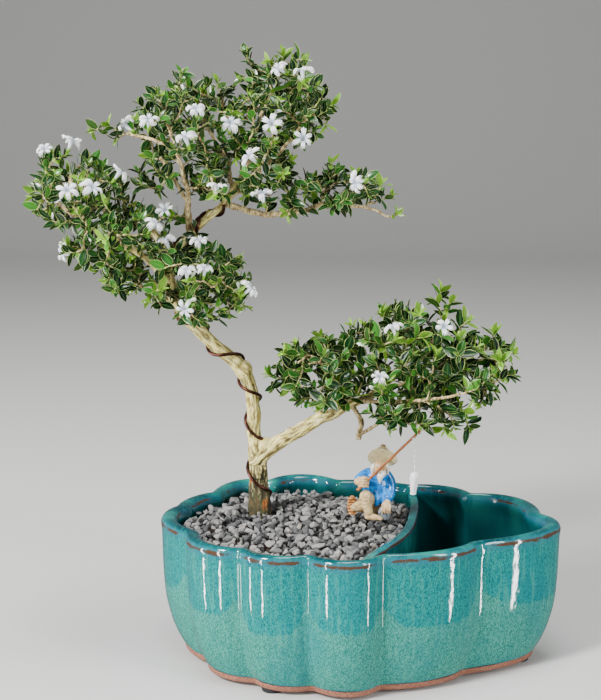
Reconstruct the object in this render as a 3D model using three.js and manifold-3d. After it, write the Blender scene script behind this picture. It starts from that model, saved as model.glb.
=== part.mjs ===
// Serissa (snow rose) bonsai in a lobed land-and-water pot, with a glazed clay fisherman.
// Millimetres, +Z up, the pot's front towards -Y. The model is laid out round the pot's
// centre, with the table a little below its zero height. At the end it is moved so that its
// origin is the middle of its base.
import * as THREE from 'three';
import { mergeVertices } from 'three/addons/utils/BufferGeometryUtils.js';
import Module from 'manifold-3d';

const wasm = await Module();
wasm.setup();

// ---------------------------------------------------------------- driving dimensions

const GAP = 0.3;                  // clearance between two pieces that touch
const GRIDS = [0.01, 0.013, 0.0125, 0.009, 0.007, 0.017, 0.02, 0.005, 0.024];  // fine grids for the vertices

// Pot: the lobes of the rim, counterclockwise from the left front. Each is the corner where it
// starts and its crown, which is its furthest point from the straight line to the next corner.
const LOBES = [
  { corner: [-118, -33], crown: [-109, -60.5] },
  { corner: [-80, -73], crown: [-62, -88.5] },
  { corner: [-35.7, -86.6], crown: [-9, -100] },
  { corner: [14, -85.5], crown: [55, -78] },
  { corner: [80, -57], crown: [137, -26] },
  { corner: [133, 10], crown: [125.5, 50] },
  { corner: [90.5, 61], crown: [74, 83] },
  { corner: [46, 86], crown: [18, 98] },
  { corner: [-12, 100], crown: [-41, 118] },
  { corner: [-66, 99], crown: [-92, 99] },
  { corner: [-107.5, 65.5], crown: [-124, 52] },
  { corner: [-131.5, 30], crown: [-139, -1] },
];
const LOBE_FULLNESS = 0.8;        // 1 makes parabolas; less makes rounder lobes, sharper grooves
const LOBE_STEPS = 5;
const TABLE = -5.5;
const RIM_HEIGHT = 95.5;
const FEET_HEIGHT = 3;
const FOOT_BOTTOM = TABLE + FEET_HEIGHT;
const FOOT_RING_TOP = FOOT_BOTTOM + 6.5;
const FOOT_REACH = 0.885;         // reaches of the foot ring, as shares of the rim's reach
const FOOT_INNER_REACH = 0.77;
const FLOOR_HEIGHT = 11;
const LIP_INNER_REACH = 0.912;
const FEET_RADIUS = 7.5;
const FEET_REACH = 0.815;
const FEET_LOBES = [1.25, 4.62, 7.6, 10.1];     // place round the rim, in lobes
const DRAIN_HOLE = { x: -60, y: -5, radius: 7 };
const BEYOND_THE_WALLS = 140;     // a reach that lies outside the pot on every side

// Dividing wall: its middle line in plan, from the back wall to the front wall
const DIVIDER_LINE = [[46, 96], [46, 60], [43, 30], [38, 0], [30, -25], [18, -48], [6, -70], [-6, -96]];
const DIVIDER_STEPS = 14;
const DIVIDER_WIDTH = 7;
const DIVIDER_TOP = 90;

// Filling of the land side
const SOIL_TOP = 79;
const GRAVEL_EDGE_TOP = 85;
const GRAVEL_MOUND = 5;           // rise of the gravel at the trunk's foot
const GRAVEL_MOUND_REACH = 90;
const GRAVEL_BLOCK = { middleX: -40, width: 200, depth: 220, height: 20 };
const STONE_SIZE = 8.8;
const STONE_RELIEF = 7;
const STONE_SCATTER = 0.55;       // how far a corner moves in plan, as a share of a stone

// Wood: every route is a list of points [x, y, z, radius]
const TRUNK_ROUTE = [
  [-70, 38, 52, 5], [-70, 38, 76, 9.5], [-70, 38, 92, 8.4], [-71, 38, 107, 7], [-71, 37, 122, 6.6],
  [-72, 36, 136, 6.8], [-74, 35, 147, 5], [-74, 33, 162, 4.8], [-75, 31, 176, 4.8],
  [-77, 30, 186, 4.8], [-82, 29, 196, 5.4], [-89, 28, 205, 5], [-100, 26, 214, 4.6],
  [-109, 25, 223, 4.5], [-119, 22, 234, 4.3], [-127, 20, 245, 4], [-132, 20, 256, 3.9],
];
const LEADER_ROUTE = [
  [-132, 20, 256, 3.7], [-132, 22, 272, 3.4], [-125, 26, 287, 3.1], [-117, 28, 296, 2.9],
  [-104, 30, 308, 2.8], [-93, 30, 317, 2.7], [-84, 28, 332, 2.5],
];
const LOW_BRANCH_ROUTE = [
  [-72, 36, 128, 5.2], [-57, 31, 142, 4.8], [-46, 26, 149, 4.4], [-35, 22, 157, 4], [-26, 20, 163, 3.6],
  [-18, 18, 166, 3.3], [-5, 14, 174, 2.9], [15, 10, 184, 2.4],
];
const LEFT_LIMB_ROUTE = [
  [-132, 20, 256, 3.2], [-143, 14, 275, 2.8], [-157, 6, 287, 2.4], [-170, 0, 295, 2.1],
];
const LEFT_BACK_LIMB_ROUTE = [[-131, 21, 270, 3], [-145, 34, 296, 2.4], [-163, 44, 302, 2]];
const WOOD = [
  { route: TRUNK_ROUTE, sides: 8, steps: 24 },
  { route: LEADER_ROUTE, sides: 6, steps: 10 },
  { route: LOW_BRANCH_ROUTE, sides: 7, steps: 10 },
  { route: LEFT_LIMB_ROUTE, sides: 6, steps: 5 },
  { route: LEFT_BACK_LIMB_ROUTE, sides: 6, steps: 4 },
];

// Training wire: its radius and the heights at which it crosses the wood's front
const WIRE_RADIUS = 1;
const WIRE_FRONTS = [74, 111, 149, 179, 207, 231, 256, 276, 297, 316];
const WIRE_FIRST_TURN = 0.5;      // share of the first turn that is left out
const WIRE_STEPS_A_TURN = 8;
const WIRE_SIDES = 4;

// Leafy sprays: the stem of each, from inside the wood outwards
const SPRAY_STEMS = {
  left_front: [[-168, 1, 294], [-186, -4, 304], [-204, -4, 318], [-218, 0, 328]],
  left_back: [[-161, 43, 301.5], [-185, 50, 312], [-205, 44, 328]],
  left_low_front: [[-119, 22, 234], [-121, 6, 251], [-109, -8, 264], [-93, -20, 270]],
  left_low_back: [[-127, 20, 245], [-148, 34, 254], [-167, 40, 261]],
  upright: [
    [-118, 28, 295], [-119, 18, 311], [-118, 8, 327], [-120, 0, 337], [-124, -4, 355], [-131, -2, 375],
  ],
  crown: [[-85, 28, 330], [-75, 24, 349], [-71, 20, 368], [-62, 18, 389], [-54, 18, 408]],
  crown_right: [[-90, 29.5, 321], [-70, 14, 338], [-52, 4, 356], [-38, -6, 374]],
  crown_back: [[-88, 29, 326], [-94, 50, 348], [-107, 58, 368], [-113, 54, 388]],
  side: [
    [-93, 30, 316], [-67, 22, 310], [-40, 16, 312], [-25, 14, 317],
    [-9, 14, 316], [6, 16, 315], [19, 18, 309],
  ],
  right_end: [[14, 10, 183.5], [37, 8, 192], [62, 8, 199], [87, 10, 208]],
  right_inner: [[-16, 17, 168], [-14, 0, 188], [-23, -14, 207], [-33, -20, 216]],
  right_back: [[10, 11, 181.5], [30, 30, 196], [46, 40, 214], [60, 40, 230]],
  right_front: [[0, 13, 177], [26, -16, 183], [48, -32, 188], [68, -36, 193]],
};
const STEM_START = 2.2;           // radii of the stems
const STEM_END = 1.1;
const TWIG_START = 1.1;           // radii of the twigs
const TWIG_END = 0.8;
const LONG_TWIG = 30;             // a twig over this length starts thicker
const LONG_TWIG_START = 1.4;
const MIN_TWIG = 9;
const TURN_COST = 1.9;            // cost of a twig that turns away from its stem, against its length

// Pads of foliage: middle and half-sizes of the space that each fills
const CROWN_MIDDLE_Y = 12;
const PADS = [
  { middle: [-197, 20, 325], half: [36, 46, 27] },
  { middle: [-159, 20, 292], half: [38, 52, 28] },
  { middle: [-111, 15, 262], half: [37, 52, 28] },
  { middle: [-170, 30, 263], half: [19, 34, 12] },
  { middle: [-117, 20, 375], half: [38, 52, 32] },
  { middle: [-54, 15, 383], half: [38, 52, 33] },
  { middle: [-82, 20, 341], half: [40, 50, 22] },
  { middle: [-13, 16, 328], half: [40, 34, 15] },
  { middle: [-25, 5, 201], half: [34, 46, 25] },
  { middle: [34, 10, 213], half: [44, 55, 30] },
  { middle: [81, 10, 206], half: [30, 45, 27] },
  { middle: [50, -10, 174], half: [36, 34, 11] },
];
// Outermost shoots [x, y, z], which set the outline of the crown
const SHOOTS = [
  [-226, 12, 322], [-216, 8, 310], [-213, 14, 352], [-202, 30, 340], [-197, 16, 282], [-178, 22, 261],
  [-146, 12, 250], [-105, 2, 240], [-79, 6, 246], [-180, 26, 328], [-160, 30, 254],
  [-175, 14, 364], [-155, 22, 374], [-134, 12, 391], [-115, 24, 403], [-94, 8, 399], [-78, 20, 410],
  [-52, 14, 414], [-32, 20, 403], [-17, 8, 386], [-22, 24, 370], [-18, 12, 347], [0, 20, 339],
  [16, 10, 332], [28, 16, 310], [24, 22, 322],
  [-59, 8, 189], [-49, 14, 211], [-26, 4, 227], [-4, 20, 231], [16, 8, 241], [43, 16, 239],
  [62, 30, 251], [79, 12, 236], [97, 20, 226], [111, 10, 212], [99, 4, 198], [86, -4, 177],
  [80, 8, 159], [60, -14, 162], [38, -8, 167], [3, 2, 161], [-38, -4, 182],
];
const FILL_TIPS = 14;
const TIP_CANDIDATES = 12;
const CROWN_SEED = 4711;

// Leaves and blooms
const LEAVES_A_TIP = 5;
const LEAVES_UNDER_A_BLOOM = 2;
const LEAF_SPREAD = 0.8;          // angle of a leaf from its twig's way
const LEAF_SPREAD_UNDER_A_BLOOM = 1.45;
const LEAF_LENGTH = 14;
const LEAF_WIDTH = 7.4;
const NOTCH_RADIUS = 1.1;         // how far the leaves of a rosette grow together round its bud
const BLOOM_TUBE = 9;
const BLOOM_RADIUS = 7;
const BLOOM_FRONT = -34;          // no bloom's base stands further to the front than this
// Blooms: place of each base [x, z] on the front or the back face of the pads, and which face
const BLOOMS = [
  [-212, 349], [-200, 353], [-196, 327], [-184, 328], [-167, 336], [-129, 314], [-144, 307],
  [-198, 289], [-126, 290], [-105, 288], [-116, 274], [-101, 275], [-81, 262], [-117, 251],
  [-155, 366], [-135, 376], [-119, 363], [-110, 380], [-85, 373], [-58, 371], [-52, 408],
  [-36, 402], [-72, 350], [-101, 334], [-62, 330], [-41, 362], [-2, 331],
  [26, 234], [60, 233], [14, 201],
];
const BACK_BLOOMS = [[-186, 306], [-66, 378], [42, 222]];

// Fisherman: middle of his seat on the gravel
const MAN = { x: 12, y: 25, z: 90 };
const HAT_TIPPED_BACK = 0.85;
const HAT_TIPPED_ASIDE = 0.2;
const ROD_BUTT = [0.7, 11, 111.8];
const ROD_TIP = [46.7, 9, 157.8];
const ROD_RADIUS = 1;
const LINE_RADIUS = 0.5;
const LINE_TURNS = 2;
const LINE_PITCH = 4.2;
const LINE_SIDES = 8;
const LINE_DROP = [[41.4, 8.2, 146], [41.7, 9, 140], [41.9, 9.2, 132], [42.1, 9.3, 126.5]];
const FISH_TOP = [42.1, 9.3, 126];
const FISH_PROFILE = [
  [0, 0], [1.4, -0.4], [3, -2], [3.2, -5], [2.7, -9.5], [2.2, -13.3], [2.4, -17], [0, -17],
];
const FISH_FLATNESS = 0.5;

// ---------------------------------------------------------------- colours and finishes

const finish = (color, roughness, metalness = 0) => (
  new THREE.MeshStandardMaterial({ color, roughness, metalness })
);
const FINISHES = {
  glaze: finish('#2f9c95', 0.18),
  rubber: finish('#17181a', 0.8),
  soil: finish('#3a2c22', 0.95),
  gravel: finish('#8f8a86', 0.9),
  bark: finish('#b3a27a', 0.85),
  wire: finish('#4a2a22', 0.35, 0.6),
  leaf: finish('#3c6a2c', 0.5),
  petal: finish('#f4f4f6', 0.6),
  clay: finish('#3a86c0', 0.3),
  bamboo: finish('#a8642c', 0.5),
  string: finish('#e6e4dc', 0.8),
  fish: finish('#dcdedd', 0.3),
};

// ---------------------------------------------------------------- solids

const vec = (point) => new THREE.Vector3(point[0], point[1], point[2]);

// A closed geometry as a solid, with its faces pointing out
function solid(geometry) {
  const bare = geometry.index ? geometry : mergeVertices(geometry);
  bare.deleteAttribute('normal');
  bare.deleteAttribute('uv');
  const merged = mergeVertices(bare, 1e-4);
  const place = merged.attributes.position;
  const corner = [new THREE.Vector3(), new THREE.Vector3(), new THREE.Vector3()];
  const faces = [];
  let volume = 0;
  for (let i = 0; i < merged.index.count; i += 3) {
    const face = [0, 1, 2].map((k) => merged.index.getX(i + k));
    if (face[0] === face[1] || face[1] === face[2] || face[2] === face[0]) continue;
    face.forEach((index, k) => corner[k].fromBufferAttribute(place, index));
    volume += corner[0].dot(corner[1].cross(corner[2]));
    faces.push(face);
  }
  const turned = volume < 0 ? faces.map(([a, b, c]) => [a, c, b]) : faces;
  return new wasm.Manifold(new wasm.Mesh({
    numProp: 3,
    vertProperties: new Float32Array(place.array),
    triVerts: new Uint32Array(turned.flat()),
  }));
}

const joined = (solids) => wasm.Manifold.union(solids);

// The largest of the bodies that a cut leaves
function largest(body) {
  return body.decompose().reduce((best, piece) => (piece.volume() > best.volume() ? piece : best));
}

function snapped(body, grid) {
  const mesh = body.getMesh();
  const place = new Float32Array(mesh.vertProperties).map((value) => Math.round(value / grid) * grid);
  const geometry = new THREE.BufferGeometry();
  geometry.setAttribute('position', new THREE.BufferAttribute(place, 3));
  geometry.setIndex(new THREE.BufferAttribute(new Uint32Array(mesh.triVerts), 1));
  return geometry;
}

// Whether every edge, known by the places of its ends, is shared by two faces and no more
function everyEdgeTwice(geometry) {
  const place = geometry.attributes.position;
  const key = (i) => [place.getX(i), place.getY(i), place.getZ(i)].map((value) => value.toFixed(4)).join();
  const uses = new Map();
  for (let i = 0; i < geometry.index.count; i += 3) {
    const corners = [0, 1, 2].map((k) => key(geometry.index.getX(i + k)));
    corners.forEach((from, k) => {
      const edge = [from, corners[(k + 1) % 3]].sort().join(' ');
      uses.set(edge, (uses.get(edge) ?? 0) + 1);
    });
  }
  return [...uses.values()].every((count) => count === 2);
}

// A solid as a mesh's geometry, on the first grid of vertices that leaves one clean closed body:
// rounding can break a hair-thin neck, or close a hair-thin slit onto itself.
function geometryOf(body) {
  for (const grid of GRIDS) {
    const once = largest(solid(snapped(body, grid)));
    const geometry = snapped(largest(solid(snapped(once, grid))), grid);
    const madeAgain = snapped(solid(geometry.clone()), 1e-4);
    if (everyEdgeTwice(geometry) && everyEdgeTwice(madeAgain)) return geometry;
  }
  throw new Error('no grid leaves one clean closed body');
}

const curveThrough = (points) => new THREE.CatmullRomCurve3(points.map(vec), false, 'catmullrom', 0.5);

// A tapered round bar bent along a curve: a cylinder whose rings are set across the curve
function bar(curve, radiusAt, sides, steps) {
  const geometry = new THREE.CylinderGeometry(1, 1, 1, sides, steps);
  const place = geometry.attributes.position;
  const point = new THREE.Vector3();
  const tangent = new THREE.Vector3();
  const side = new THREE.Vector3();
  const front = new THREE.Vector3();
  const along = curve.getTangent(0.5);
  const reference = Math.abs(along.y) > 0.8 ? new THREE.Vector3(1, 0, 0) : new THREE.Vector3(0, -1, 0);
  for (let i = 0; i < place.count; i += 1) {
    const t = Math.min(1, Math.max(0, place.getY(i) + 0.5));
    curve.getPoint(t, point);
    curve.getTangent(t, tangent);
    side.crossVectors(reference, tangent).normalize();
    front.crossVectors(tangent, side);
    point.addScaledVector(side, place.getX(i) * radiusAt(t));
    point.addScaledVector(front, place.getZ(i) * radiusAt(t));
    place.setXYZ(i, point.x, point.y, point.z);
  }
  return solid(geometry);
}

const taper = (start, end) => (t) => start + (end - start) * t;

// The radius along a route whose points hold it, grown by a clearance
function routeRadius(route, extra = 0) {
  return (t) => {
    const place = t * (route.length - 1);
    const index = Math.min(route.length - 2, Math.floor(place));
    return route[index][3] + (route[index + 1][3] - route[index][3]) * (place - index) + extra;
  };
}

// An extruded plan outline between two heights
function slab(points, bottom, top) {
  const outline = new THREE.Shape(points.map(([x, y]) => new THREE.Vector2(x, y)));
  const geometry = new THREE.ExtrudeGeometry(outline, { depth: top - bottom, bevelEnabled: false });
  geometry.translate(0, 0, bottom);
  return solid(geometry);
}

function ball(middle, half, across = 8, down = 6) {
  const geometry = new THREE.SphereGeometry(1, across, down);
  geometry.rotateX(Math.PI / 2);
  geometry.scale(half[0], half[1], half[2]);
  geometry.translate(middle[0], middle[1], middle[2]);
  return solid(geometry);
}

function rodBetween(from, to, radius, endRadius = radius, sides = 7) {
  return bar(new THREE.LineCurve3(vec(from), vec(to)), taper(radius, endRadius), sides, 1);
}

// A closed solid from its corners and its triangles, three indices each
function solidOf(points, faces) {
  const geometry = new THREE.BufferGeometry();
  const places = points.flatMap((point) => point.toArray());
  geometry.setAttribute('position', new THREE.Float32BufferAttribute(places, 3));
  geometry.setIndex(faces);
  return solid(geometry);
}

// The same sequence of numbers between 0 and 1 on every machine
function makeDraw(seed) {
  let state = seed;
  return () => {
    state = (state * 16807) % 2147483647;
    return state / 2147483647;
  };
}

// ---------------------------------------------------------------- pot

// A point of the rim's outer edge, by its place counted in lobes
function rimPoint(place) {
  const lobe = Math.floor(place) % LOBES.length;
  const share = place - Math.floor(place);
  const { corner: [x0, y0], crown: [xc, yc] } = LOBES[lobe];
  const [x1, y1] = LOBES[(lobe + 1) % LOBES.length].corner;
  const rise = (1 - (2 * share - 1) ** 2) ** LOBE_FULLNESS;
  return [
    x0 + (x1 - x0) * share + (xc - (x0 + x1) / 2) * rise,
    y0 + (y1 - y0) * share + (yc - (y0 + y1) / 2) * rise,
  ];
}

// A profile [share of the rim's reach, height] turned round the pot's centre along the lobes
function lobed(profile) {
  const outline = profile.map(([share, z]) => new THREE.Vector2(share, z));
  const rings = LOBES.length * LOBE_STEPS;
  const geometry = new THREE.LatheGeometry(outline, rings);
  const place = geometry.attributes.position;
  for (let ring = 0; ring <= rings; ring += 1) {
    const [x, y] = rimPoint((ring % rings) / LOBE_STEPS);
    profile.forEach(([share, z], i) => {
      place.setXYZ(ring * profile.length + i, x * share, y * share, z);
    });
  }
  return solid(geometry);
}

const OUTER_WALL = [
  [0.892, FOOT_RING_TOP + 0.6], [0.925, 10], [0.953, 19.5], [0.974, 30.5], [0.99, 46.5], [1, 88],
];
const LIP = [
  [1, 92], [0.985, RIM_HEIGHT - 0.6], [0.955, RIM_HEIGHT], [0.928, RIM_HEIGHT - 1.5], [LIP_INNER_REACH, 90],
];
const INNER_WALL = [[0.935, 80], [0.935, 50], [0.915, 30], [0.87, 17]];

// The dividing wall's middle line in plan, moved towards the land side by an offset
function dividerLine(offset) {
  const middle = new THREE.SplineCurve(DIVIDER_LINE.map(([x, y]) => new THREE.Vector2(x, y)));
  return middle.getPoints(DIVIDER_STEPS).map((point, i) => {
    const way = middle.getTangent(i / DIVIDER_STEPS);
    return [point.x + way.y * offset, point.y - way.x * offset];
  });
}

function makePot() {
  const shell = lobed([
    [0, FOOT_BOTTOM + 5], [FOOT_INNER_REACH - 0.02, FOOT_BOTTOM + 5], [FOOT_INNER_REACH, FOOT_BOTTOM],
    [FOOT_REACH, FOOT_BOTTOM], [FOOT_REACH, FOOT_RING_TOP], ...OUTER_WALL, ...LIP, ...INNER_WALL,
    [0.8, FLOOR_HEIGHT], [0, FLOOR_HEIGHT],
  ]);
  const band = [...dividerLine(-DIVIDER_WIDTH / 2), ...dividerLine(DIVIDER_WIDTH / 2).reverse()];
  const inside = lobed([[0, FLOOR_HEIGHT - 3], [0.82, FLOOR_HEIGHT - 3], [0.955, 45], [0.955, 93], [0, 93]]);
  const divider = slab(band, FLOOR_HEIGHT - 2, DIVIDER_TOP).intersect(inside);
  const { x, y, radius } = DRAIN_HOLE;
  const hole = rodBetween([x, y, TABLE], [x, y, FLOOR_HEIGHT + 10], radius, radius, 16);
  return shell.add(divider).subtract(hole);
}

// Everything in plan on the land side of the dividing wall, clear of it
function landSide(bottom, top) {
  const edge = dividerLine(DIVIDER_WIDTH / 2 + GAP);
  const [back, front] = [edge[0][0], edge[edge.length - 1][0]];
  const far = BEYOND_THE_WALLS;
  return slab([[-far, far], [back, far], ...edge, [front, -far], [-far, -far]], bottom, top);
}

function makeFoot(lobePlace) {
  const [x, y] = rimPoint(lobePlace);
  const geometry = new THREE.CylinderGeometry(FEET_RADIUS, FEET_RADIUS, FEET_HEIGHT, 16);
  geometry.rotateX(Math.PI / 2);
  geometry.translate(x * FEET_REACH, y * FEET_REACH, TABLE + FEET_HEIGHT / 2);
  return solid(geometry);
}

// ---------------------------------------------------------------- filling

function makeSoil() {
  const fill = lobed([
    [0, FLOOR_HEIGHT + GAP], [0.79, FLOOR_HEIGHT + GAP], [0.86, 17.5], [0.905, 30], [0.925, 50],
    [0.93, 73], [0.92, SOIL_TOP], [0, SOIL_TOP],
  ]);
  return fill.intersect(landSide(0, 100));
}

// A bed whose top is a rough relief of stones, highest round the trunk
function makeGravel() {
  const draw = makeDraw(907);
  const bottom = SOIL_TOP + GAP;
  const { middleX, width, depth, height } = GRAVEL_BLOCK;
  const [columns, rows] = [Math.round(width / STONE_SIZE), Math.round(depth / STONE_SIZE)];
  const geometry = new THREE.BoxGeometry(width, depth, height, columns, rows, 1);
  const block = mergeVertices(geometry.deleteAttribute('normal').deleteAttribute('uv'));
  const place = block.attributes.position;
  for (let i = 0; i < place.count; i += 1) {
    const shift = [draw() - 0.5, draw() - 0.5, draw() - 0.5];
    if (place.getZ(i) < 0) continue;
    const row = Math.round((place.getY(i) + depth / 2) / STONE_SIZE);
    const x = place.getX(i) + middleX + STONE_SIZE * (STONE_SCATTER * shift[0] + (row % 2) * 0.5);
    const y = place.getY(i) + STONE_SIZE * STONE_SCATTER * shift[1];
    const away = Math.hypot(x - TRUNK_ROUTE[2][0], y - TRUNK_ROUTE[2][1]) / GRAVEL_MOUND_REACH;
    const mound = GRAVEL_MOUND * Math.max(0, 1 - away * away);
    place.setXYZ(i, x, y, GRAVEL_EDGE_TOP + mound + STONE_RELIEF * shift[2]);
  }
  place.array.forEach((value, i) => {
    if (i % 3 === 2 && value < 0) place.array[i] = bottom - 2;
  });
  const room = lobed([[0, bottom], [0.905, bottom], [0.905, 110], [0, 110]]);
  return solid(block).intersect(room).intersect(landSide(0, 120));
}

// ---------------------------------------------------------------- wood and wire

// A place moved straight away from its neighbour
function movedFrom(neighbour, place, distance) {
  const away = vec(place).sub(vec(neighbour)).normalize();
  return vec(place).addScaledVector(away, distance).toArray();
}

// The same wood grown all round by a clearance, past its ends too, is what others are cut by
function woodBodies(extra) {
  return WOOD.map(({ route, sides, steps }) => {
    const start = movedFrom(route[1], route[0], extra);
    const end = movedFrom(route.at(-2), route.at(-1), extra);
    const curve = curveThrough([start, ...route.slice(1, -1), end]);
    return bar(curve, routeRadius(route, extra), sides, steps);
  });
}

const WOUND_ROUTE = [...TRUNK_ROUTE, ...LEADER_ROUTE.slice(1)];
const WOUND = curveThrough(WOUND_ROUTE);
const woundRadius = routeRadius(WOUND_ROUTE, WIRE_RADIUS + 2 * GAP);

// The share of the wound wood at which it reaches a height
function shareAtHeight(height) {
  let share = 0;
  while (share < 1 && WOUND.getPoint(share).z < height) share += 0.002;
  return share;
}

function wireRoute() {
  const fronts = WIRE_FRONTS.map(shareAtHeight);
  const points = [];
  const first = WIRE_FIRST_TURN * WIRE_STEPS_A_TURN;
  for (let step = first; step <= (fronts.length - 1) * WIRE_STEPS_A_TURN; step += 1) {
    const turn = Math.min(fronts.length - 2, Math.floor(step / WIRE_STEPS_A_TURN));
    const within = step / WIRE_STEPS_A_TURN - turn;
    const t = fronts[turn] + (fronts[turn + 1] - fronts[turn]) * within;
    const angle = 2 * Math.PI * (step / WIRE_STEPS_A_TURN);
    const middle = WOUND.getPoint(t);
    const tangent = WOUND.getTangent(t);
    const side = new THREE.Vector3(0, -1, 0).cross(tangent).normalize();
    const front = tangent.clone().cross(side);
    middle.addScaledVector(front, woundRadius(t) * Math.cos(angle));
    middle.addScaledVector(side, woundRadius(t) * Math.sin(angle));
    points.push([middle.x, middle.y, middle.z]);
  }
  return points;
}

function makeWire(extra) {
  const points = wireRoute();
  return bar(curveThrough(points), () => WIRE_RADIUS + extra, WIRE_SIDES, points.length - 1);
}

// ---------------------------------------------------------------- crown

// The front or back face of the pads over a place [x, z]
function padFace(x, z, towards) {
  const faces = PADS.map(({ middle, half }) => {
    const share = 1 - ((x - middle[0]) / half[0]) ** 2 - ((z - middle[2]) / half[2]) ** 2;
    return share > 0 ? middle[1] + towards * half[1] * Math.sqrt(share) : -towards * CROWN_MIDDLE_Y;
  });
  return towards < 0 ? Math.min(...faces) : Math.max(...faces);
}

// Blooms look out of the pads, and away from the stem that is nearest to them
function placeBlooms() {
  const draw = makeDraw(CROWN_SEED + 5);
  const stems = stemPlaces();
  const place = (towards) => ([x, z]) => {
    const base = new THREE.Vector3(x, Math.max(BLOOM_FRONT, padFace(x, z, towards)), z);
    const nearest = stems.reduce((best, stem) => (
      stem.point.distanceTo(base) < best.point.distanceTo(base) ? stem : best
    ));
    const heading = (draw() - 0.5) * 2.2;
    const rise = -0.15 + 0.9 * draw();
    const level = Math.cos(rise);
    const [across, out] = [Math.sin(heading) * level, Math.cos(heading) * level];
    const way = new THREE.Vector3(across, towards * out, Math.sin(rise));
    way.add(base.clone().sub(nearest.point).normalize()).normalize();
    return { base, way };
  };
  return [...BLOOMS.map(place(-1)), ...BACK_BLOOMS.map(place(1))];
}

function pointInPad(draw) {
  const pad = PADS[Math.floor(draw() * PADS.length)];
  const turn = 2 * Math.PI * draw();
  const rise = 2 * draw() - 1;
  const reach = 0.5 + 0.5 * Math.sqrt(draw());
  const flat = Math.sqrt(1 - rise * rise) * reach;
  return new THREE.Vector3(
    pad.middle[0] + pad.half[0] * flat * Math.cos(turn),
    pad.middle[1] + pad.half[1] * flat * Math.sin(turn),
    pad.middle[2] + pad.half[2] * rise * reach,
  );
}

// Tips of the twigs: the outline shoots, one under each bloom, then the emptiest places of the pads
function makeTips(blooms) {
  const draw = makeDraw(CROWN_SEED);
  const tips = SHOOTS.map((place) => ({ place: vec(place), bloom: null }));
  for (const bloom of blooms) {
    tips.push({ place: bloom.base.clone().addScaledVector(bloom.way, -0.9), bloom });
  }
  for (let n = 0; n < FILL_TIPS; n += 1) {
    let best = null;
    let widest = -1;
    for (let k = 0; k < TIP_CANDIDATES; k += 1) {
      const spot = pointInPad(draw);
      const room = Math.min(...tips.map((tip) => tip.place.distanceTo(spot)));
      if (room > widest) {
        widest = room;
        best = spot;
      }
    }
    tips.push({ place: best, bloom: null });
  }
  return tips;
}

// Places where a twig can start: points along the stems, with the way that the stem runs
function stemPlaces() {
  const places = [];
  for (const [spray, route] of Object.entries(SPRAY_STEMS)) {
    const curve = curveThrough(route);
    const count = (route.length - 1) * 3;
    for (let i = 1; i <= count; i += 1) {
      places.push({ spray, point: curve.getPoint(i / count), way: curve.getTangent(i / count) });
    }
  }
  return places;
}

// Rough shapes of pieces as spheres, which what grows later stays clear of. Pieces of one spray
// are fused, so they may touch: a twig may meet its own spray, and a leaf its own twig.
function spheresAlong(curve, radiusAt, owner, count) {
  return Array.from({ length: count + 1 }, (_, i) => (
    { ...owner, middle: curve.getPoint(i / count), radius: radiusAt(i / count) }
  ));
}

function isClear(taken, spheres, mayTouch) {
  return spheres.every(({ middle, radius }) => taken.every((other) => (
    mayTouch(other) || other.middle.distanceTo(middle) > other.radius + radius + GAP
  )));
}

function bloomSpheres({ base, way }) {
  const at = (along, radius) => ({ radius, middle: base.clone().addScaledVector(way, along) });
  return [at(3, 2), at(6, 2.2), at(BLOOM_TUBE, 6), at(BLOOM_TUBE + 1, 7)];
}

// Each tip is joined by a twig to the place that costs least in length and in turning, of those
// from which the twig stays clear of all that is taken
function growTwigs(tips, taken) {
  const places = stemPlaces();
  const reach = (tip) => Math.min(...places.map(({ point }) => point.distanceTo(tip.place)));
  const order = tips.map((tip) => ({ tip, away: reach(tip) })).sort((a, b) => a.away - b.away);
  const twigs = [];
  for (const { tip } of order) {
    const options = [];
    for (const { spray, point, way } of places) {
      const ahead = tip.place.clone().sub(point);
      const length = ahead.length();
      const cost = length * (TURN_COST - ahead.dot(way) / length);
      if (length > MIN_TWIG) options.push({ spray, point, way, length, cost });
    }
    options.sort((a, b) => a.cost - b.cost);
    for (const { spray, point, way, length } of options.slice(0, tip.bloom ? options.length : 8)) {
      const bend = point.clone().addScaledVector(way, length * 0.35);
      bend.z -= length * 0.06;
      const curve = new THREE.QuadraticBezierCurve3(point, bend, tip.place);
      const twig = { spray, curve, length, tip };
      const spheres = spheresAlong(curve, () => 0.9, { spray, twig }, Math.ceil(length / 3));
      if (!isClear(taken, spheres.slice(1, -1), (other) => other.spray === spray)) continue;
      taken.push(...spheres);
      places.push({ spray, point: curve.getPoint(0.5), way: curve.getTangent(0.5) });
      twigs.push(twig);
      break;
    }
  }
  return twigs;
}

const BUD_TOP = 0;
const BUD_BOTTOM = 1;

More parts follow.
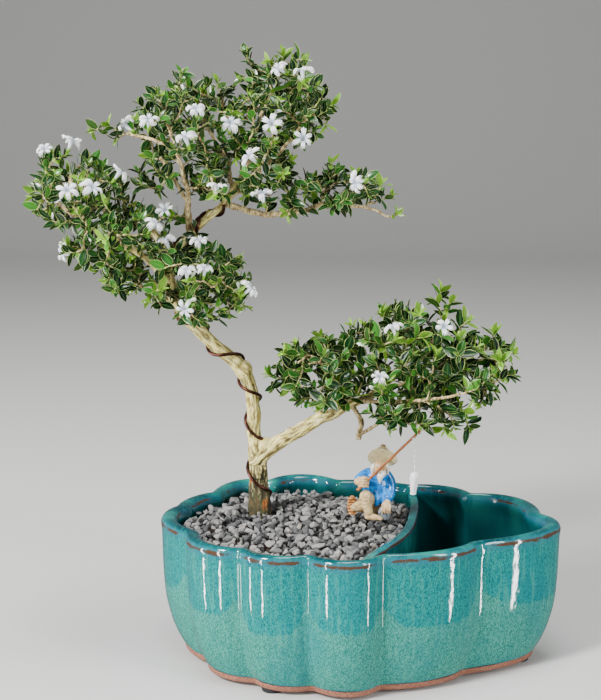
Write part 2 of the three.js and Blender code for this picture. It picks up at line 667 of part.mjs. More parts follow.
// A rosette: leaves round a small bud, each with a tip and two side points, thickest along its rib
function rosette(tip, axis, across, leaves) {
  const points = [tip.clone().addScaledVector(axis, 1.4), tip.clone().addScaledVector(axis, -2)];
  const faces = [];
  const add = (point) => points.push(point) - 1;
  const notches = leaves.map(({ turn }, k) => {
    const next = k + 1 < leaves.length ? leaves[k + 1].turn : leaves[0].turn + 2 * Math.PI;
    const between = across.clone().applyAxisAngle(axis, (turn + next) / 2);
    return add(tip.clone().addScaledVector(between, NOTCH_RADIUS));
  });
  leaves.forEach(({ turn, spread, size }, k) => {
    const round = across.clone().applyAxisAngle(axis, turn);
    const way = axis.clone().multiplyScalar(Math.cos(spread)).addScaledVector(round, Math.sin(spread));
    const up = axis.clone().multiplyScalar(Math.sin(spread)).addScaledVector(round, -Math.cos(spread));
    const side = axis.clone().cross(round);
    const [length, width] = [LEAF_LENGTH * size, LEAF_WIDTH * size];
    const at = (along, across, over) => add(tip.clone()
      .addScaledVector(way, along * length).addScaledVector(side, across * width).addScaledVector(up, over));
    const [before, after] = [notches[(k + leaves.length - 1) % leaves.length], notches[k]];
    const [right, end, left] = [at(0.55, -0.5, 0.7), at(1, 0, -0.6), at(0.55, 0.5, 0.7)];
    faces.push(BUD_TOP, before, right, BUD_TOP, right, end, BUD_TOP, end, left, BUD_TOP, left, after);
    faces.push(end, right, before, end, before, after, end, after, left, after, before, BUD_BOTTOM);
  });
  return solidOf(points, faces);
}

function growSprays(blooms, blockers, obstacles) {
  const draw = makeDraw(CROWN_SEED + 1);
  const taken = [...blockers];
  blooms.forEach((bloom) => taken.push(...bloomSpheres(bloom)));
  const bodies = {};
  for (const [spray, route] of Object.entries(SPRAY_STEMS)) {
    const curve = curveThrough(route);
    const radiusAt = taper(STEM_START, STEM_END);
    bodies[spray] = [bar(curve, radiusAt, 5, route.length * 2 - 2)];
    taken.push(...spheresAlong(curve, radiusAt, { spray }, route.length * 6).slice(4));
  }
  const twigs = growTwigs(makeTips(blooms), taken);
  for (const twig of twigs) {
    const { spray, curve, length, tip } = twig;
    const start = length > LONG_TWIG ? LONG_TWIG_START : TWIG_START;
    bodies[spray].push(bar(curve, taper(start, TWIG_END), 3, 2));
    const lift = new THREE.Vector3(0, 0, tip.bloom ? 0 : 0.5);
    const axis = curve.getTangent(1).add(lift).normalize();
    const across = new THREE.Vector3(0, 1, 0.3).cross(axis).normalize();
    const first = draw() * Math.PI;
    const middle = curve.getPoint(1 - (tip.bloom ? Math.min(0.3, 4 / length) : 0.02));
    const leaves = [];
    const count = tip.bloom ? LEAVES_UNDER_A_BLOOM : LEAVES_A_TIP;
    for (let n = 0; n < count; n += 1) {
      const turn = first + (n * 2 * Math.PI) / count;
      const round = across.clone().applyAxisAngle(axis, turn);
      const widest = tip.bloom ? LEAF_SPREAD_UNDER_A_BLOOM : LEAF_SPREAD;
      const spread = widest + 0.35 * (n % 2) + 0.15 * draw();
      const full = 0.85 + 0.35 * draw();
      const way = axis.clone().multiplyScalar(Math.cos(spread)).addScaledVector(round, Math.sin(spread));
      for (const size of [full, 0.75 * full]) {
        const spheres = [0.3, 0.55, 0.8].map((share) => ({
          spray,
          twig,
          middle: middle.clone().addScaledVector(way, LEAF_LENGTH * size * share),
          radius: LEAF_WIDTH * size * 0.36,
        }));
        if (isClear(taken, spheres, (other) => other.twig === twig)) {
          taken.push(...spheres);
          leaves.push({ turn, spread, size });
          break;
        }
      }
    }
    if (leaves.length > 1) bodies[spray].push(rosette(middle, axis, across, leaves));
  }
  return Object.entries(bodies).map(([spray, solids]) => {
    const whole = obstacles.reduce((body, obstacle) => body.subtract(obstacle), joined(solids));
    return { name: `spray_${spray}`, body: largest(whole) };
  });
}

// A bloom: a narrow tube that opens into five pointed lobes round a hollow throat
function makeBloom({ base, way }) {
  const side = new THREE.Vector3(0, 0, 1).cross(way).normalize();
  const top = way.clone().cross(side);
  const at = (along, radius, angle) => base.clone()
    .addScaledVector(way, along)
    .addScaledVector(side, radius * Math.cos(angle))
    .addScaledVector(top, radius * Math.sin(angle));
  const fifth = (2 * Math.PI) / 5;
  const throat = [0, 1, 2, 3, 4].map((k) => at(BLOOM_TUBE - 2, 2, k * fifth));
  const mouth = [0, 1, 2, 3, 4].flatMap((k) => [
    at(BLOOM_TUBE - 0.5, BLOOM_RADIUS, k * fifth),
    at(BLOOM_TUBE, BLOOM_RADIUS * 0.5, (k + 0.5) * fifth),
  ]);
  const points = [base, at(BLOOM_TUBE - 0.6, 0, 0), ...throat, ...mouth];
  const faces = [];
  for (let k = 0; k < 5; k += 1) {
    const next = (k + 1) % 5;
    const [lobe, notch, nextLobe] = [7 + 2 * k, 8 + 2 * k, 7 + 2 * next];
    faces.push(0, 2 + k, 2 + next);
    faces.push(2 + k, lobe, notch, 2 + k, notch, 2 + next, 2 + next, notch, nextLobe);
    faces.push(1, notch, lobe, 1, nextLobe, notch);
  }
  return solidOf(points, faces);
}

// ---------------------------------------------------------------- fisherman, rod and line

function makeFisherman(extra) {
  const { x, y, z } = MAN;
  const at = (dx, dy, dz) => [x + dx, y + dy, z + dz];
  const round = (middle, half, across, down) => ball(middle, half.map((size) => size + extra), across, down);
  const limb = (from, to, start, end, sides) => rodBetween(from, to, start + extra, end + extra, sides);
  const parts = [
    round(at(3, 0, 20), [11.5, 9.5, 14], 10, 7),                    // tunic
    round(at(0, 0, 6), [13, 10, 7.5], 10, 5),                       // seat and folded legs
    limb(at(3.5, -2, 29), at(5.5, -5.5, 37), 4.2, 3.6, 6),          // neck
    round(at(5.5, -7, 37.5), [5, 5, 5.4], 8, 6),                    // head
    round(at(6, -5.2, 39), [5.2, 5.4, 5.4], 8, 6),                  // hair, up to the hat
    limb(at(5.5, -9, 35), at(5, -12, 27.5), 3.4, 0.9, 6),           // beard
    limb(at(-5, -1, 30), at(-10.5, -4, 27.5), 3.4, 3.2, 6),         // rod arm, upper
    limb(at(-11, -4, 28.5), at(-6, -13, 28), 3.2, 2.6, 6),          // rod arm, lower
    limb(at(14, -2, 28), at(16, -6, 19), 3.4, 3, 6),                // other arm, upper
    limb(at(16, -6, 20), at(11, -12, 11), 3, 2.2, 6),               // other arm, lower
    limb(at(-4, -4, 10), at(-6, -12, 17.5), 4.6, 3.6, 6),           // raised knee
    limb(at(-6, -12, 18.5), at(5, -13, 3), 3.6, 2.4, 6),            // shin
    round(at(7.5, -14, 1.8), [6, 3, 2.4], 6, 4),                    // bare foot
    round(at(-14.6, -2, 5), [3.6, 5, 5.4], 6, 4),                   // other foot
    limb(at(8.5, -9, -1.5), at(8.5, -9, 9.5), 4.8, 3.6, 8),         // creel
  ];
  const hatProfile = [
    [0, 0], [10.4, -0.6], [10.9, 0.4], [5.8, 3], [4.8, 6.4], [2.2, 8.8], [1.8, 10.6], [0, 11],
  ];
  const hat = new THREE.LatheGeometry(hatProfile.map(([r, h]) => new THREE.Vector2(r, h)), 12);
  hat.rotateX(Math.PI / 2 - HAT_TIPPED_BACK);
  hat.rotateY(HAT_TIPPED_ASIDE);
  hat.translate(...at(7, -4, 43.5));
  parts.push(solid(hat));
  return joined(parts);
}

function lineRoute() {
  const butt = vec(ROD_BUTT);
  const tip = vec(ROD_TIP);
  const way = tip.clone().sub(butt).normalize();
  const side = new THREE.Vector3(0, -1, 0).cross(way).normalize();
  const front = way.clone().cross(side);
  const away = ROD_RADIUS + LINE_RADIUS + GAP;
  const start = tip.clone().addScaledVector(way, -LINE_PITCH * LINE_TURNS - 0.8);
  const points = [];
  const steps = LINE_TURNS * 6;
  for (let i = 0; i <= steps; i += 1) {
    const angle = (i / 6) * 2 * Math.PI;
    const point = start.clone().addScaledVector(way, (LINE_PITCH * i) / 6);
    point.addScaledVector(front, away * Math.cos(angle)).addScaledVector(side, -away * Math.sin(angle));
    points.push([point.x, point.y, point.z]);
  }
  return points;
}

function makeRod(extra) {
  return rodBetween(ROD_BUTT, ROD_TIP, ROD_RADIUS + extra, ROD_RADIUS * 0.9 + extra, 8);
}

function makeLine() {
  const points = [...lineRoute().reverse(), ...LINE_DROP];
  const outline = new THREE.Shape();
  outline.absarc(0, 0, LINE_RADIUS, 0, 2 * Math.PI);
  const path = new THREE.CatmullRomCurve3(points.map(vec), false, 'centripetal');
  const geometry = new THREE.ExtrudeGeometry(outline, {
    steps: 26, curveSegments: LINE_SIDES / 2, bevelEnabled: false, extrudePath: path,
  });
  return solid(geometry);
}

function makeFish() {
  const geometry = new THREE.LatheGeometry(FISH_PROFILE.map(([r, h]) => new THREE.Vector2(r, h)), 8);
  geometry.rotateX(Math.PI / 2);
  geometry.scale(1, FISH_FLATNESS, 1);
  geometry.translate(...FISH_TOP);
  return solid(geometry);
}

// ---------------------------------------------------------------- the whole object

const pieces = [];
const addPiece = (name, body, material) => pieces.push({ name, body, material });
const blooms = placeBlooms();
const wood = joined(woodBodies(0));
const woodRoom = joined(woodBodies(GAP));
const wireRoom = makeWire(GAP);

addPiece('pot', makePot(), FINISHES.glaze);
FEET_LOBES.forEach((place, i) => addPiece(`foot_pad_${i + 1}`, makeFoot(place), FINISHES.rubber));
addPiece('soil', makeSoil().subtract(woodRoom).subtract(wireRoom), FINISHES.soil);
const manRoom = makeFisherman(GAP);
const gravel = makeGravel().subtract(woodRoom).subtract(wireRoom).subtract(manRoom);
addPiece('gravel', largest(gravel), FINISHES.gravel);
addPiece('trunk', wood.subtract(wireRoom), FINISHES.bark);
addPiece('training_wire', makeWire(0), FINISHES.wire);

const blockers = WOOD.flatMap(({ route, steps }) => (
  spheresAlong(curveThrough(route), routeRadius(route), 'wood', steps * 4)
));
for (const { name, body } of growSprays(blooms, blockers, [woodRoom, wireRoom])) {
  addPiece(name, body, FINISHES.leaf);
}
blooms.forEach((bloom, i) => {
  addPiece(`bloom_${String(i + 1).padStart(2, '0')}`, makeBloom(bloom), FINISHES.petal);
});

addPiece('fisherman', makeFisherman(0).subtract(makeRod(GAP)), FINISHES.clay);
addPiece('rod', makeRod(0), FINISHES.bamboo);
addPiece('line', makeLine(), FINISHES.string);
addPiece('fish', makeFish(), FINISHES.fish);

// The origin: the middle of the base of everything but the line and the fish
const whole = new THREE.Box3();
for (const { name, body } of pieces) {
  const { min, max } = body.boundingBox();
  if (!['line', 'fish'].includes(name)) whole.union(new THREE.Box3(vec(min), vec(max)));
}
const shift = [-(whole.min.x + whole.max.x) / 2, -(whole.min.y + whole.max.y) / 2, -whole.min.z];

const group = new THREE.Group();
for (const { name, body, material } of pieces) {
  const node = new THREE.Mesh(geometryOf(body.translate(shift)), material);
  node.name = name;
  group.add(node);
}

export default group;
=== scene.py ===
"""Serissa (snow rose) bonsai in a lobed land-and-water pot, with a glazed clay fisherman.

The layout is in millimetres round the pot's centre on the table, with its front towards -Y.
placed() takes it to the part's own frame, in metres.
"""

import math

import bmesh
import bpy
import numpy as np
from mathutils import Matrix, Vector, kdtree, noise


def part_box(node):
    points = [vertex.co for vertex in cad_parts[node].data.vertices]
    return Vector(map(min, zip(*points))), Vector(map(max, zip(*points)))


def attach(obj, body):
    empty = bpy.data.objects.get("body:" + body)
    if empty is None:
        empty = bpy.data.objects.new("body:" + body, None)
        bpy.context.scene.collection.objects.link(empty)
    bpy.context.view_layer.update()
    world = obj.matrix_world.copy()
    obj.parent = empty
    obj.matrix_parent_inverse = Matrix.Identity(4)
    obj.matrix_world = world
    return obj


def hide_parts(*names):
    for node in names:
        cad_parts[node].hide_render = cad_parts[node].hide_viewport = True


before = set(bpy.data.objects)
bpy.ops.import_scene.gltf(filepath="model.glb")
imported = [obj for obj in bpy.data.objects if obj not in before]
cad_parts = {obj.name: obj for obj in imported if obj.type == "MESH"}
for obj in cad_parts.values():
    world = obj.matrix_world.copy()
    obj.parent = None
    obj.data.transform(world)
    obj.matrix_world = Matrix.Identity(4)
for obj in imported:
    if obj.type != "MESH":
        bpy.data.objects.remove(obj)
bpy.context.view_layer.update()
MM = 0.001

# ---------------------------------------------------------------- layout of the pot

# The rim's lobes, counterclockwise from the left front: the corner in plan where each starts, and
# its crown, which is its furthest point from the straight line to the next corner
LOBES = [
    ((-118, -33), (-109, -60.5)), ((-80, -73), (-62, -88.5)), ((-35.7, -86.6), (-9, -100)),
    ((14, -85.5), (55, -78)), ((80, -57), (137, -26)), ((133, 10), (125.5, 50)),
    ((90.5, 61), (74, 83)), ((46, 86), (18, 98)), ((-12, 100), (-41, 118)), ((-66, 99), (-92, 99)),
    ((-107.5, 65.5), (-124, 52)), ((-131.5, 30), (-139, -1)),
]
LOBE_FULLNESS = 0.8
LOBE_STEPS = 40
GROOVE_ROUNDING, GROOVE_REACH = 1.5, 8  # steps of the outline over which a groove is rounded off
FOOT_PAD_LOBE, FOOT_PAD_REACH = 1.25, 0.815  # place of the first foot pad, in lobes and in reach
TABLE = -5.5  # height of the table in the layout

DIVIDER_LINE = [(46, 96), (46, 60), (43, 30), (38, 0), (30, -25), (18, -48), (6, -70), (-6, -96)]
DIVIDER_WIDTH, DIVIDER_TOP = 7, 90
FLOOR_HEIGHT, UNDERSIDE_HEIGHT = 11, 2.5
GRAVEL_EDGE_TOP, GRAVEL_MOUND, GRAVEL_MOUND_REACH = 85, 5, 90
GRAVEL_REACH = 0.905  # share of the rim's reach that the gravel fills
DRAIN_HOLE, DRAIN_RADIUS = (-60, -5), 7


def rim_points(places):
    """Points of the rim's outer edge at places counted in lobes."""
    places = np.asarray(places, float)
    corners = np.array([corner for corner, _ in LOBES], float)
    crowns = np.array([crown for _, crown in LOBES], float)
    lobe = np.floor(places).astype(int) % len(LOBES)
    share = (places - np.floor(places))[:, None]
    start, end = corners[lobe], corners[(lobe + 1) % len(LOBES)]
    rise = (1 - (2 * share - 1) ** 2) ** LOBE_FULLNESS
    return start + (end - start) * share + (crowns[lobe] - (start + end) / 2) * rise


def rim_outline():
    """The rim's closed outline in plan, with its grooves rounded off."""
    count = len(LOBES) * LOBE_STEPS
    outline = rim_points(np.arange(count) / LOBE_STEPS)
    reach = np.arange(-GROOVE_REACH, GROOVE_REACH + 1)
    weights = np.exp(-0.5 * (reach / GROOVE_ROUNDING) ** 2)
    weights /= weights.sum()
    return sum(w * np.roll(outline, k, axis=0) for k, w in zip(reach, weights))


RIM = rim_outline()


def shift_to_part():
    """From the pot's centre to the part's own origin, by the first foot pad's place."""
    low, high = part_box("foot_pad_1")
    x, y = rim_points([FOOT_PAD_LOBE])[0] * FOOT_PAD_REACH
    return np.array([(low.x + high.x) / 2 / MM - x, (low.y + high.y) / 2 / MM - y, low.z / MM - TABLE])


SHIFT = shift_to_part()


def placed(points):
    """Layout millimetres as metres in the part's frame."""
    return (np.asarray(points, float) + SHIFT) * MM


def laid_out(points):
    """Metres in the part's frame as layout millimetres."""
    return np.asarray(points, float) / MM - SHIFT


# ---------------------------------------------------------------- camera

CAMERA_PLACE = (-40, -972, 395)
CAMERA_DIP = 10.4  # degrees below the horizon
FIELD_OF_VIEW = 24.0  # degrees across the frame
FRAME_WIDTH, FRAME_HEIGHT = 601, 700
SENSOR_SIDE = 36  # longer side of the sensor, in millimetres
NEAREST_SEEN, FURTHEST_SEEN = 0.01, 50  # metres


def new_object(name, data):
    """An object in the scene for a mesh, curve, light or camera."""
    made = bpy.data.objects.new(name, data)
    bpy.context.scene.collection.objects.link(made)
    return made


def make_camera():
    """A camera in front of the pot, which looks a little down on it."""
    data = bpy.data.cameras.new("camera")
    focal = FRAME_WIDTH / 2 / math.tan(math.radians(FIELD_OF_VIEW / 2))
    data.sensor_width = SENSOR_SIDE
    data.lens = data.sensor_width * focal / FRAME_HEIGHT  # the sensor spans the frame's height
    data.clip_start, data.clip_end = NEAREST_SEEN, FURTHEST_SEEN
    camera = new_object("camera", data)
    camera.location = placed(CAMERA_PLACE)
    camera.rotation_euler = (math.radians(90 - CAMERA_DIP), 0, 0)
    bpy.context.scene.camera = camera


make_camera()

# ---------------------------------------------------------------- materials


def colour(code):
    """An sRGB hex value as linear red, green, blue and alpha."""
    parts = [int(code[i : i + 2], 16) / 255 for i in (1, 3, 5)]
    linear = [c / 12.92 if c <= 0.04045 else ((c + 0.055) / 1.055) ** 2.4 for c in parts]
    return (*linear, 1.0)


def every(*millimetres):
    """The scale that repeats a pattern once every so many millimetres along x, y and z."""
    return tuple(1 / (size * MM) for size in millimetres)


OF_COLOURS = {"data_type": "RGBA", "out": 2}  # a Mix of colours gives its result at output 2


class Finish:
    """A material under its maker's name. add() is its only way to make a node.

    Inputs go by name, or by number where names repeat. A Mix of colours takes its share at 0 and
    its colours at 6 and 7. A MapRange takes its value at 0, what it comes from at 1 and 2, and
    what it becomes at 3 and 4.
    """

    def __init__(self, name):
        self.material = bpy.data.materials.new(name)
        self.material.use_nodes = True
        self.tree = self.material.node_tree
        self.tree.nodes.clear()

    def add(self, kind, inputs=(), out=0, stops=(), **settings):
        """Adds a node with its settings, its values and its links, and gives one of its outputs. A
        hex value stands for a colour."""
        made = self.tree.nodes.new("ShaderNode" + kind)
        for name, value in settings.items():
            setattr(made, name, value)
        for name, value in dict(inputs).items():
            if isinstance(value, bpy.types.NodeSocket):
                self.tree.links.new(value, made.inputs[name])
            else:
                made.inputs[name].default_value = colour(value) if isinstance(value, str) else value
        for i, (place, code) in enumerate(stops):
            ramp = made.color_ramp.elements
            stop = ramp[i] if i < 2 else ramp.new(place)  # a new ramp has two stops
            stop.position, stop.color = place, colour(code)
        return made.outputs[out] if made.outputs else made


def glaze_on_wall(f, where, runs, clouds):
    """The outside's two coats: pale green below, and turquoise above a ragged edge."""
    height = f.add("SeparateXYZ", {0: where}, out=2)
    coat = f.add("Attribute", attribute_name="coat", out="Fac")
    # crystals of 0.8 mm, drawn out by the run of the glaze
    mottle_at = f.add("Mapping", {"Vector": where, "Scale": every(0.8, 0.8, 1.5)})
    mottle = f.add("TexNoise", {"Vector": mottle_at, "Scale": 1, "Detail": 4, "Roughness": 0.6})
    low = f.add("ValToRGB", {0: mottle}, stops=[(0.37, "#1b665d"), (0.49, "#2f7e74"), (0.61, "#489a89")])
    high = f.add("ValToRGB", {0: mottle}, stops=[(0.37, "#025259"), (0.49, "#046f72"), (0.61, "#10877f")])
    # the end of the upper coat, ragged by 2 mm
    ragged = f.add("MapRange", {0: runs, 1: 0.3, 2: 0.7, 3: -0.001, 4: 0.001})
    coat_end = f.add("Math", {0: coat, 1: ragged}, operation="ADD")
    above = f.add("Math", {0: height, 1: coat_end}, operation="SUBTRACT")
    upper = f.add("MapRange", {0: above, 1: -0.001, 2: 0.0015, 3: 0.0, 4: 0.85},
                  interpolation_type="SMOOTHSTEP")
    wall = f.add("Mix", {0: upper, 6: low, 7: high}, **OF_COLOURS)
    # deeper blue where it pools, and pale streaks where it ran
    pool = f.add("MapRange", {0: clouds, 1: 0.45, 2: 0.7, 3: 0.0, 4: 0.4})
    wall = f.add("Mix", {0: pool, 6: wall, 7: "#006a76"}, **OF_COLOURS)
    streak = f.add("MapRange", {0: runs, 1: 0.52, 2: 0.7, 3: 0.0, 4: 0.25})
    return f.add("Mix", {0: streak, 6: wall, 7: "#55ad97"}, **OF_COLOURS)


def glaze_on_lining(f, inside, runs, clouds):
    """Thick dark glaze on the lip, and darker still down inside: partly thicker glaze, partly painted shade
    in the basin.
    """
    lip = f.add("ValToRGB", {0: clouds}, stops=[(0.36, "#013c44"), (0.52, "#06595c"), (0.7, "#1f8a7e")])
    thin = f.add("MapRange", {0: runs, 1: 0.5, 2: 0.75, 3: 0.0, 4: 0.35})
    lip = f.add("Mix", {0: thin, 6: lip, 7: "#2b9584"}, **OF_COLOURS)
    # darker down inside the basin: partly thicker glaze, partly painted shade of the deep recess
    deep = f.add("MapRange", {0: inside, 1: 0.5, 2: 0.9})
    return f.add("Mix", {0: deep, 6: lip, 7: "#03474a"}, **OF_COLOURS)


def glaze_broken_at_edges(f, where, body):
    """A blue-violet haze beside the rim's edge, and the iron brown where the glaze breaks over it."""
    edge = f.add("Attribute", attribute_name="edge", out="Fac")
    haze_reach = f.add("MapRange", {0: edge, 1: 0.2, 2: 0.7, 3: 0.0, 4: 0.4})
    body = f.add("Mix", {0: haze_reach, 6: body, 7: "#2f5f7c"}, **OF_COLOURS)
    # the break comes in patches 14 mm long
    patch_at = f.add("Mapping", {"Vector": where, "Scale": every(14, 14, 5)})
    patches = f.add("TexNoise", {"Vector": patch_at, "Scale": 1, "Detail": 5, "Roughness": 0.7})
    rough_edge = f.add("MapRange", {0: patches, 1: 0.3, 2: 0.7, 3: -0.22, 4: 0.2})
    worn = f.add("Math", {0: edge, 1: rough_edge}, operation="ADD")
    broken = f.add("MapRange", {0: worn, 1: 0.82, 2: 0.93, 3: 0.0, 4: 0.92})
    return f.add("Mix", {0: broken, 6: body, 7: "#4d2f17"}, **OF_COLOURS)


def glaze_finish():
    """Copper-green stoneware glaze in two coats: a glassy skin, turquoise above and paler green
    below the upper coat's scalloped edge, finely mottled, deep teal where it lies thick on the lip
    and inside, darker down in the basin with painted shade, and iron brown where it breaks thin over the
    rim."""
    f = Finish("copper_green_stoneware_glaze")
    where = f.add("TexCoord", out="Object")
    inside = f.add("Attribute", attribute_name="inside", out="Fac")
    # runs 2.6 mm wide, and clouds of 26 mm
    runs_at = f.add("Mapping", {"Vector": where, "Scale": every(2.6, 2.6, 26)})
    runs = f.add("TexNoise", {"Vector": runs_at, "Scale": 1, "Detail": 3})
    clouds_at = f.add("Mapping", {"Vector": where, "Scale": every(26, 26, 44)})
    clouds = f.add("TexNoise", {"Vector": clouds_at, "Scale": 1, "Detail": 2})
    wall = glaze_on_wall(f, where, runs, clouds)
    lining = glaze_on_lining(f, inside, runs, clouds)
    is_in = f.add("MapRange", {0: inside, 1: 0.02, 2: 0.25})
    body = f.add("Mix", {0: is_in, 6: wall, 7: lining}, **OF_COLOURS)
    body = glaze_broken_at_edges(f, where, body)
    # the skin's orange peel, 7 mm wide, which breaks up the highlights
    peel_at = f.add("Mapping", {"Vector": where, "Scale": every(7, 7, 10)})
    peel = f.add("TexNoise", {"Vector": peel_at, "Scale": 1, "Detail": 3})
    skin = f.add("Bump", {"Strength": 0.16, "Distance": 0.0008, "Height": peel})
    shader = f.add("BsdfPrincipled", {"Base Color": body, "Roughness": 0.07, "IOR": 1.48, "Normal": skin})
    f.add("OutputMaterial", {"Surface": shader})
    return f.material


def bare_clay_finish():
    """Unglazed red stoneware, pressed in a mould: dull pinkish brown with grog specks."""
    f = Finish("unglazed_red_stoneware")
    where = f.add("TexCoord", out="Object")
    grog_at = f.add("Mapping", {"Vector": where, "Scale": every(1.1, 1.1, 1.1)})
    grog = f.add("TexNoise", {"Vector": grog_at, "Scale": 1, "Detail": 3})
    stain_at = f.add("Mapping", {"Vector": where, "Scale": every(25, 25, 9)})
    stain = f.add("TexNoise", {"Vector": stain_at, "Scale": 1, "Detail": 2})
    body = f.add("ValToRGB", {0: grog}, stops=[(0.32, "#6e4334"), (0.5, "#8d5b47"), (0.7, "#a3745f")])
    dirt = f.add("MapRange", {0: stain, 1: 0.45, 2: 0.75, 3: 0.0, 4: 0.5})
    body = f.add("Mix", {0: dirt, 6: body, 7: "#6e4033"}, **OF_COLOURS)
    grit = f.add("Bump", {"Strength": 0.4, "Distance": 0.0003, "Height": grog})
    shader = f.add("BsdfPrincipled", {"Base Color": body, "Roughness": 0.85, "IOR": 1.5, "Normal": grit})
    f.add("OutputMaterial", {"Surface": shader})
    return f.material


def rubber_finish():
    """Moulded black rubber pad: matt, faintly dusty."""
    f = Finish("moulded_black_rubber")
    where = f.add("TexCoord", out="Object")
    dust_at = f.add("Mapping", {"Vector": where, "Scale": every(2, 2, 2)})
    dust = f.add("TexNoise", {"Vector": dust_at, "Scale": 1, "Detail": 3})
    body = f.add("ValToRGB", {0: dust}, stops=[(0.4, "#141416"), (0.75, "#2b2b2c")])
    shader = f.add("BsdfPrincipled", {"Base Color": body, "Roughness": 0.7, "IOR": 1.52})
    f.add("OutputMaterial", {"Surface": shader})
    return f.material


def soil_finish():
    """Damp potting soil: dark crumbs of 3 mm, with no shine."""
    f = Finish("damp_potting_soil")
    where = f.add("TexCoord", out="Object")
    crumbs_at = f.add("Mapping", {"Vector": where, "Scale": every(3, 3, 3)})
    crumbs = f.add("TexNoise", {"Vector": crumbs_at, "Scale": 1, "Detail": 4})
    body = f.add("ValToRGB", {0: crumbs}, stops=[(0.35, "#1d1510"), (0.7, "#4a382b")])
    rough = f.add("Bump", {"Strength": 0.8, "Distance": 0.001, "Height": crumbs})
    shader = f.add("BsdfPrincipled", {"Base Color": body, "Roughness": 0.95, "Normal": rough})
    f.add("OutputMaterial", {"Surface": shader})
    return f.material


def stone_finish():
    """Crushed blue-grey basalt: worn broken faces of a dull light grey, some warmer, some pale, with
    a fine grit. Stones that lie deeper in the bed are darker, as painted shade."""
    f = Finish("crushed_grey_basalt")
    where = f.add("TexCoord", out="Object")
    # tone: each stone's own random tone, darker on stones that lie deeper, as painted shade
    tone = f.add("Attribute", attribute_name="tone", out="Fac")
    grit_at = f.add("Mapping", {"Vector": where, "Scale": every(0.9, 0.9, 0.9)})
    grit = f.add("TexNoise", {"Vector": grit_at, "Scale": 1, "Detail": 3, "Roughness": 0.65})
    face = f.add("ValToRGB", {0: tone}, stops=[
        (0.0, "#29292c"), (0.25, "#6a6a69"), (0.5, "#9f9e9a"), (0.74, "#a29e9b"),
        (0.9, "#b4a799"), (1.0, "#d6d5d2"),
    ])
    shade = f.add("MapRange", {0: grit, 1: 0.35, 2: 0.65, 3: 0.0, 4: 0.4})
    face = f.add("Mix", {0: shade, 6: face, 7: "#757476"}, **OF_COLOURS)
    rough = f.add("Bump", {"Strength": 0.35, "Distance": 0.0004, "Height": grit})
    shader = f.add("BsdfPrincipled", {"Base Color": face, "Roughness": 0.75, "IOR": 1.5, "Normal": rough})
    f.add("OutputMaterial", {"Surface": shader})
    return f.material


def bark_finish():
    """Old serissa bark: pale straw-coloured cork in long flakes, darker grey-brown where its relief
    sinks in, mossy and rust-brown at the foot."""
    f = Finish("flaking_serissa_bark")
    where = f.add("TexCoord", out="Object")
    crack = f.add("Attribute", attribute_name="crack", out="Fac")
    along_wood = f.add("Attribute", attribute_name="grain", out="Vector")
    # flakes 1.6 mm across and 7 mm long, which follow each limb
    flakes_at = f.add("Mapping", {"Vector": along_wood, "Scale": every(1.6, 1.6, 7)})
    flakes = f.add("TexNoise", {"Vector": flakes_at, "Scale": 1, "Detail": 5, "Roughness": 0.7})
    body = f.add("ValToRGB", {0: flakes}, stops=[
        (0.36, "#7d6c35"), (0.44, "#cbb660"), (0.52, "#f7e78f"), (0.64, "#fdf6bc"),
    ])
    moss_at = f.add("Mapping", {"Vector": where, "Scale": every(9, 9, 14)})
    moss = f.add("TexNoise", {"Vector": moss_at, "Scale": 1, "Detail": 4})
    green = f.add("MapRange", {0: moss, 1: 0.5, 2: 0.68, 3: 0.0, 4: 0.45})
    body = f.add("Mix", {0: green, 6: body, 7: "#8f9166"}, **OF_COLOURS)
    height = f.add("SeparateXYZ", {0: where}, out=2)
    foot = f.add("MapRange", {0: height, 1: 0.15, 2: 0.1, 3: 0.0, 4: 1.15})
    ragged = f.add("MapRange", {0: flakes, 1: 0.4, 2: 0.6, 3: 0.35, 4: -0.35})
    mossy = f.add("Math", {0: foot, 1: ragged}, operation="ADD")
    mossy = f.add("MapRange", {0: mossy, 1: 0.2, 2: 0.75})
    rust = f.add("ValToRGB", {0: moss}, stops=[(0.42, "#1f1c10"), (0.55, "#4c4a2c"), (0.62, "#a5602a")])
    body = f.add("Mix", {0: mossy, 6: body, 7: rust}, **OF_COLOURS)
    # darker grey-brown where the relief sinks in, by how deep it sinks
    dark = f.add("MapRange", {0: crack, 1: 0.5, 2: 1.0, 3: 0.0, 4: 0.85})
    body = f.add("Mix", {0: dark, 6: body, 7: "#55462a"}, **OF_COLOURS)
    cork = f.add("Bump", {"Strength": 0.9, "Distance": 0.0011, "Height": flakes})
    shader = f.add("BsdfPrincipled", {"Base Color": body, "Roughness": 0.8, "IOR": 1.45, "Normal": cork})
    f.add("OutputMaterial", {"Surface": shader})
    return f.material


def wire_finish():
    """Annealed aluminium training wire, anodised copper-brown: a soft metal shine."""
    f = Finish("anodised_brown_aluminium_wire")
    where = f.add("TexCoord", out="Object")
    scuff_at = f.add("Mapping", {"Vector": where, "Scale": every(3, 3, 3)})
    scuffs = f.add("TexNoise", {"Vector": scuff_at, "Scale": 1, "Detail": 3})
    body = f.add("ValToRGB", {0: scuffs}, stops=[(0.4, "#3a201b"), (0.7, "#6d4236")])
    shader = f.add("BsdfPrincipled", {"Base Color": body, "Metallic": 0.85, "Roughness": 0.33})
    f.add("OutputMaterial", {"Surface": shader})
    return f.material


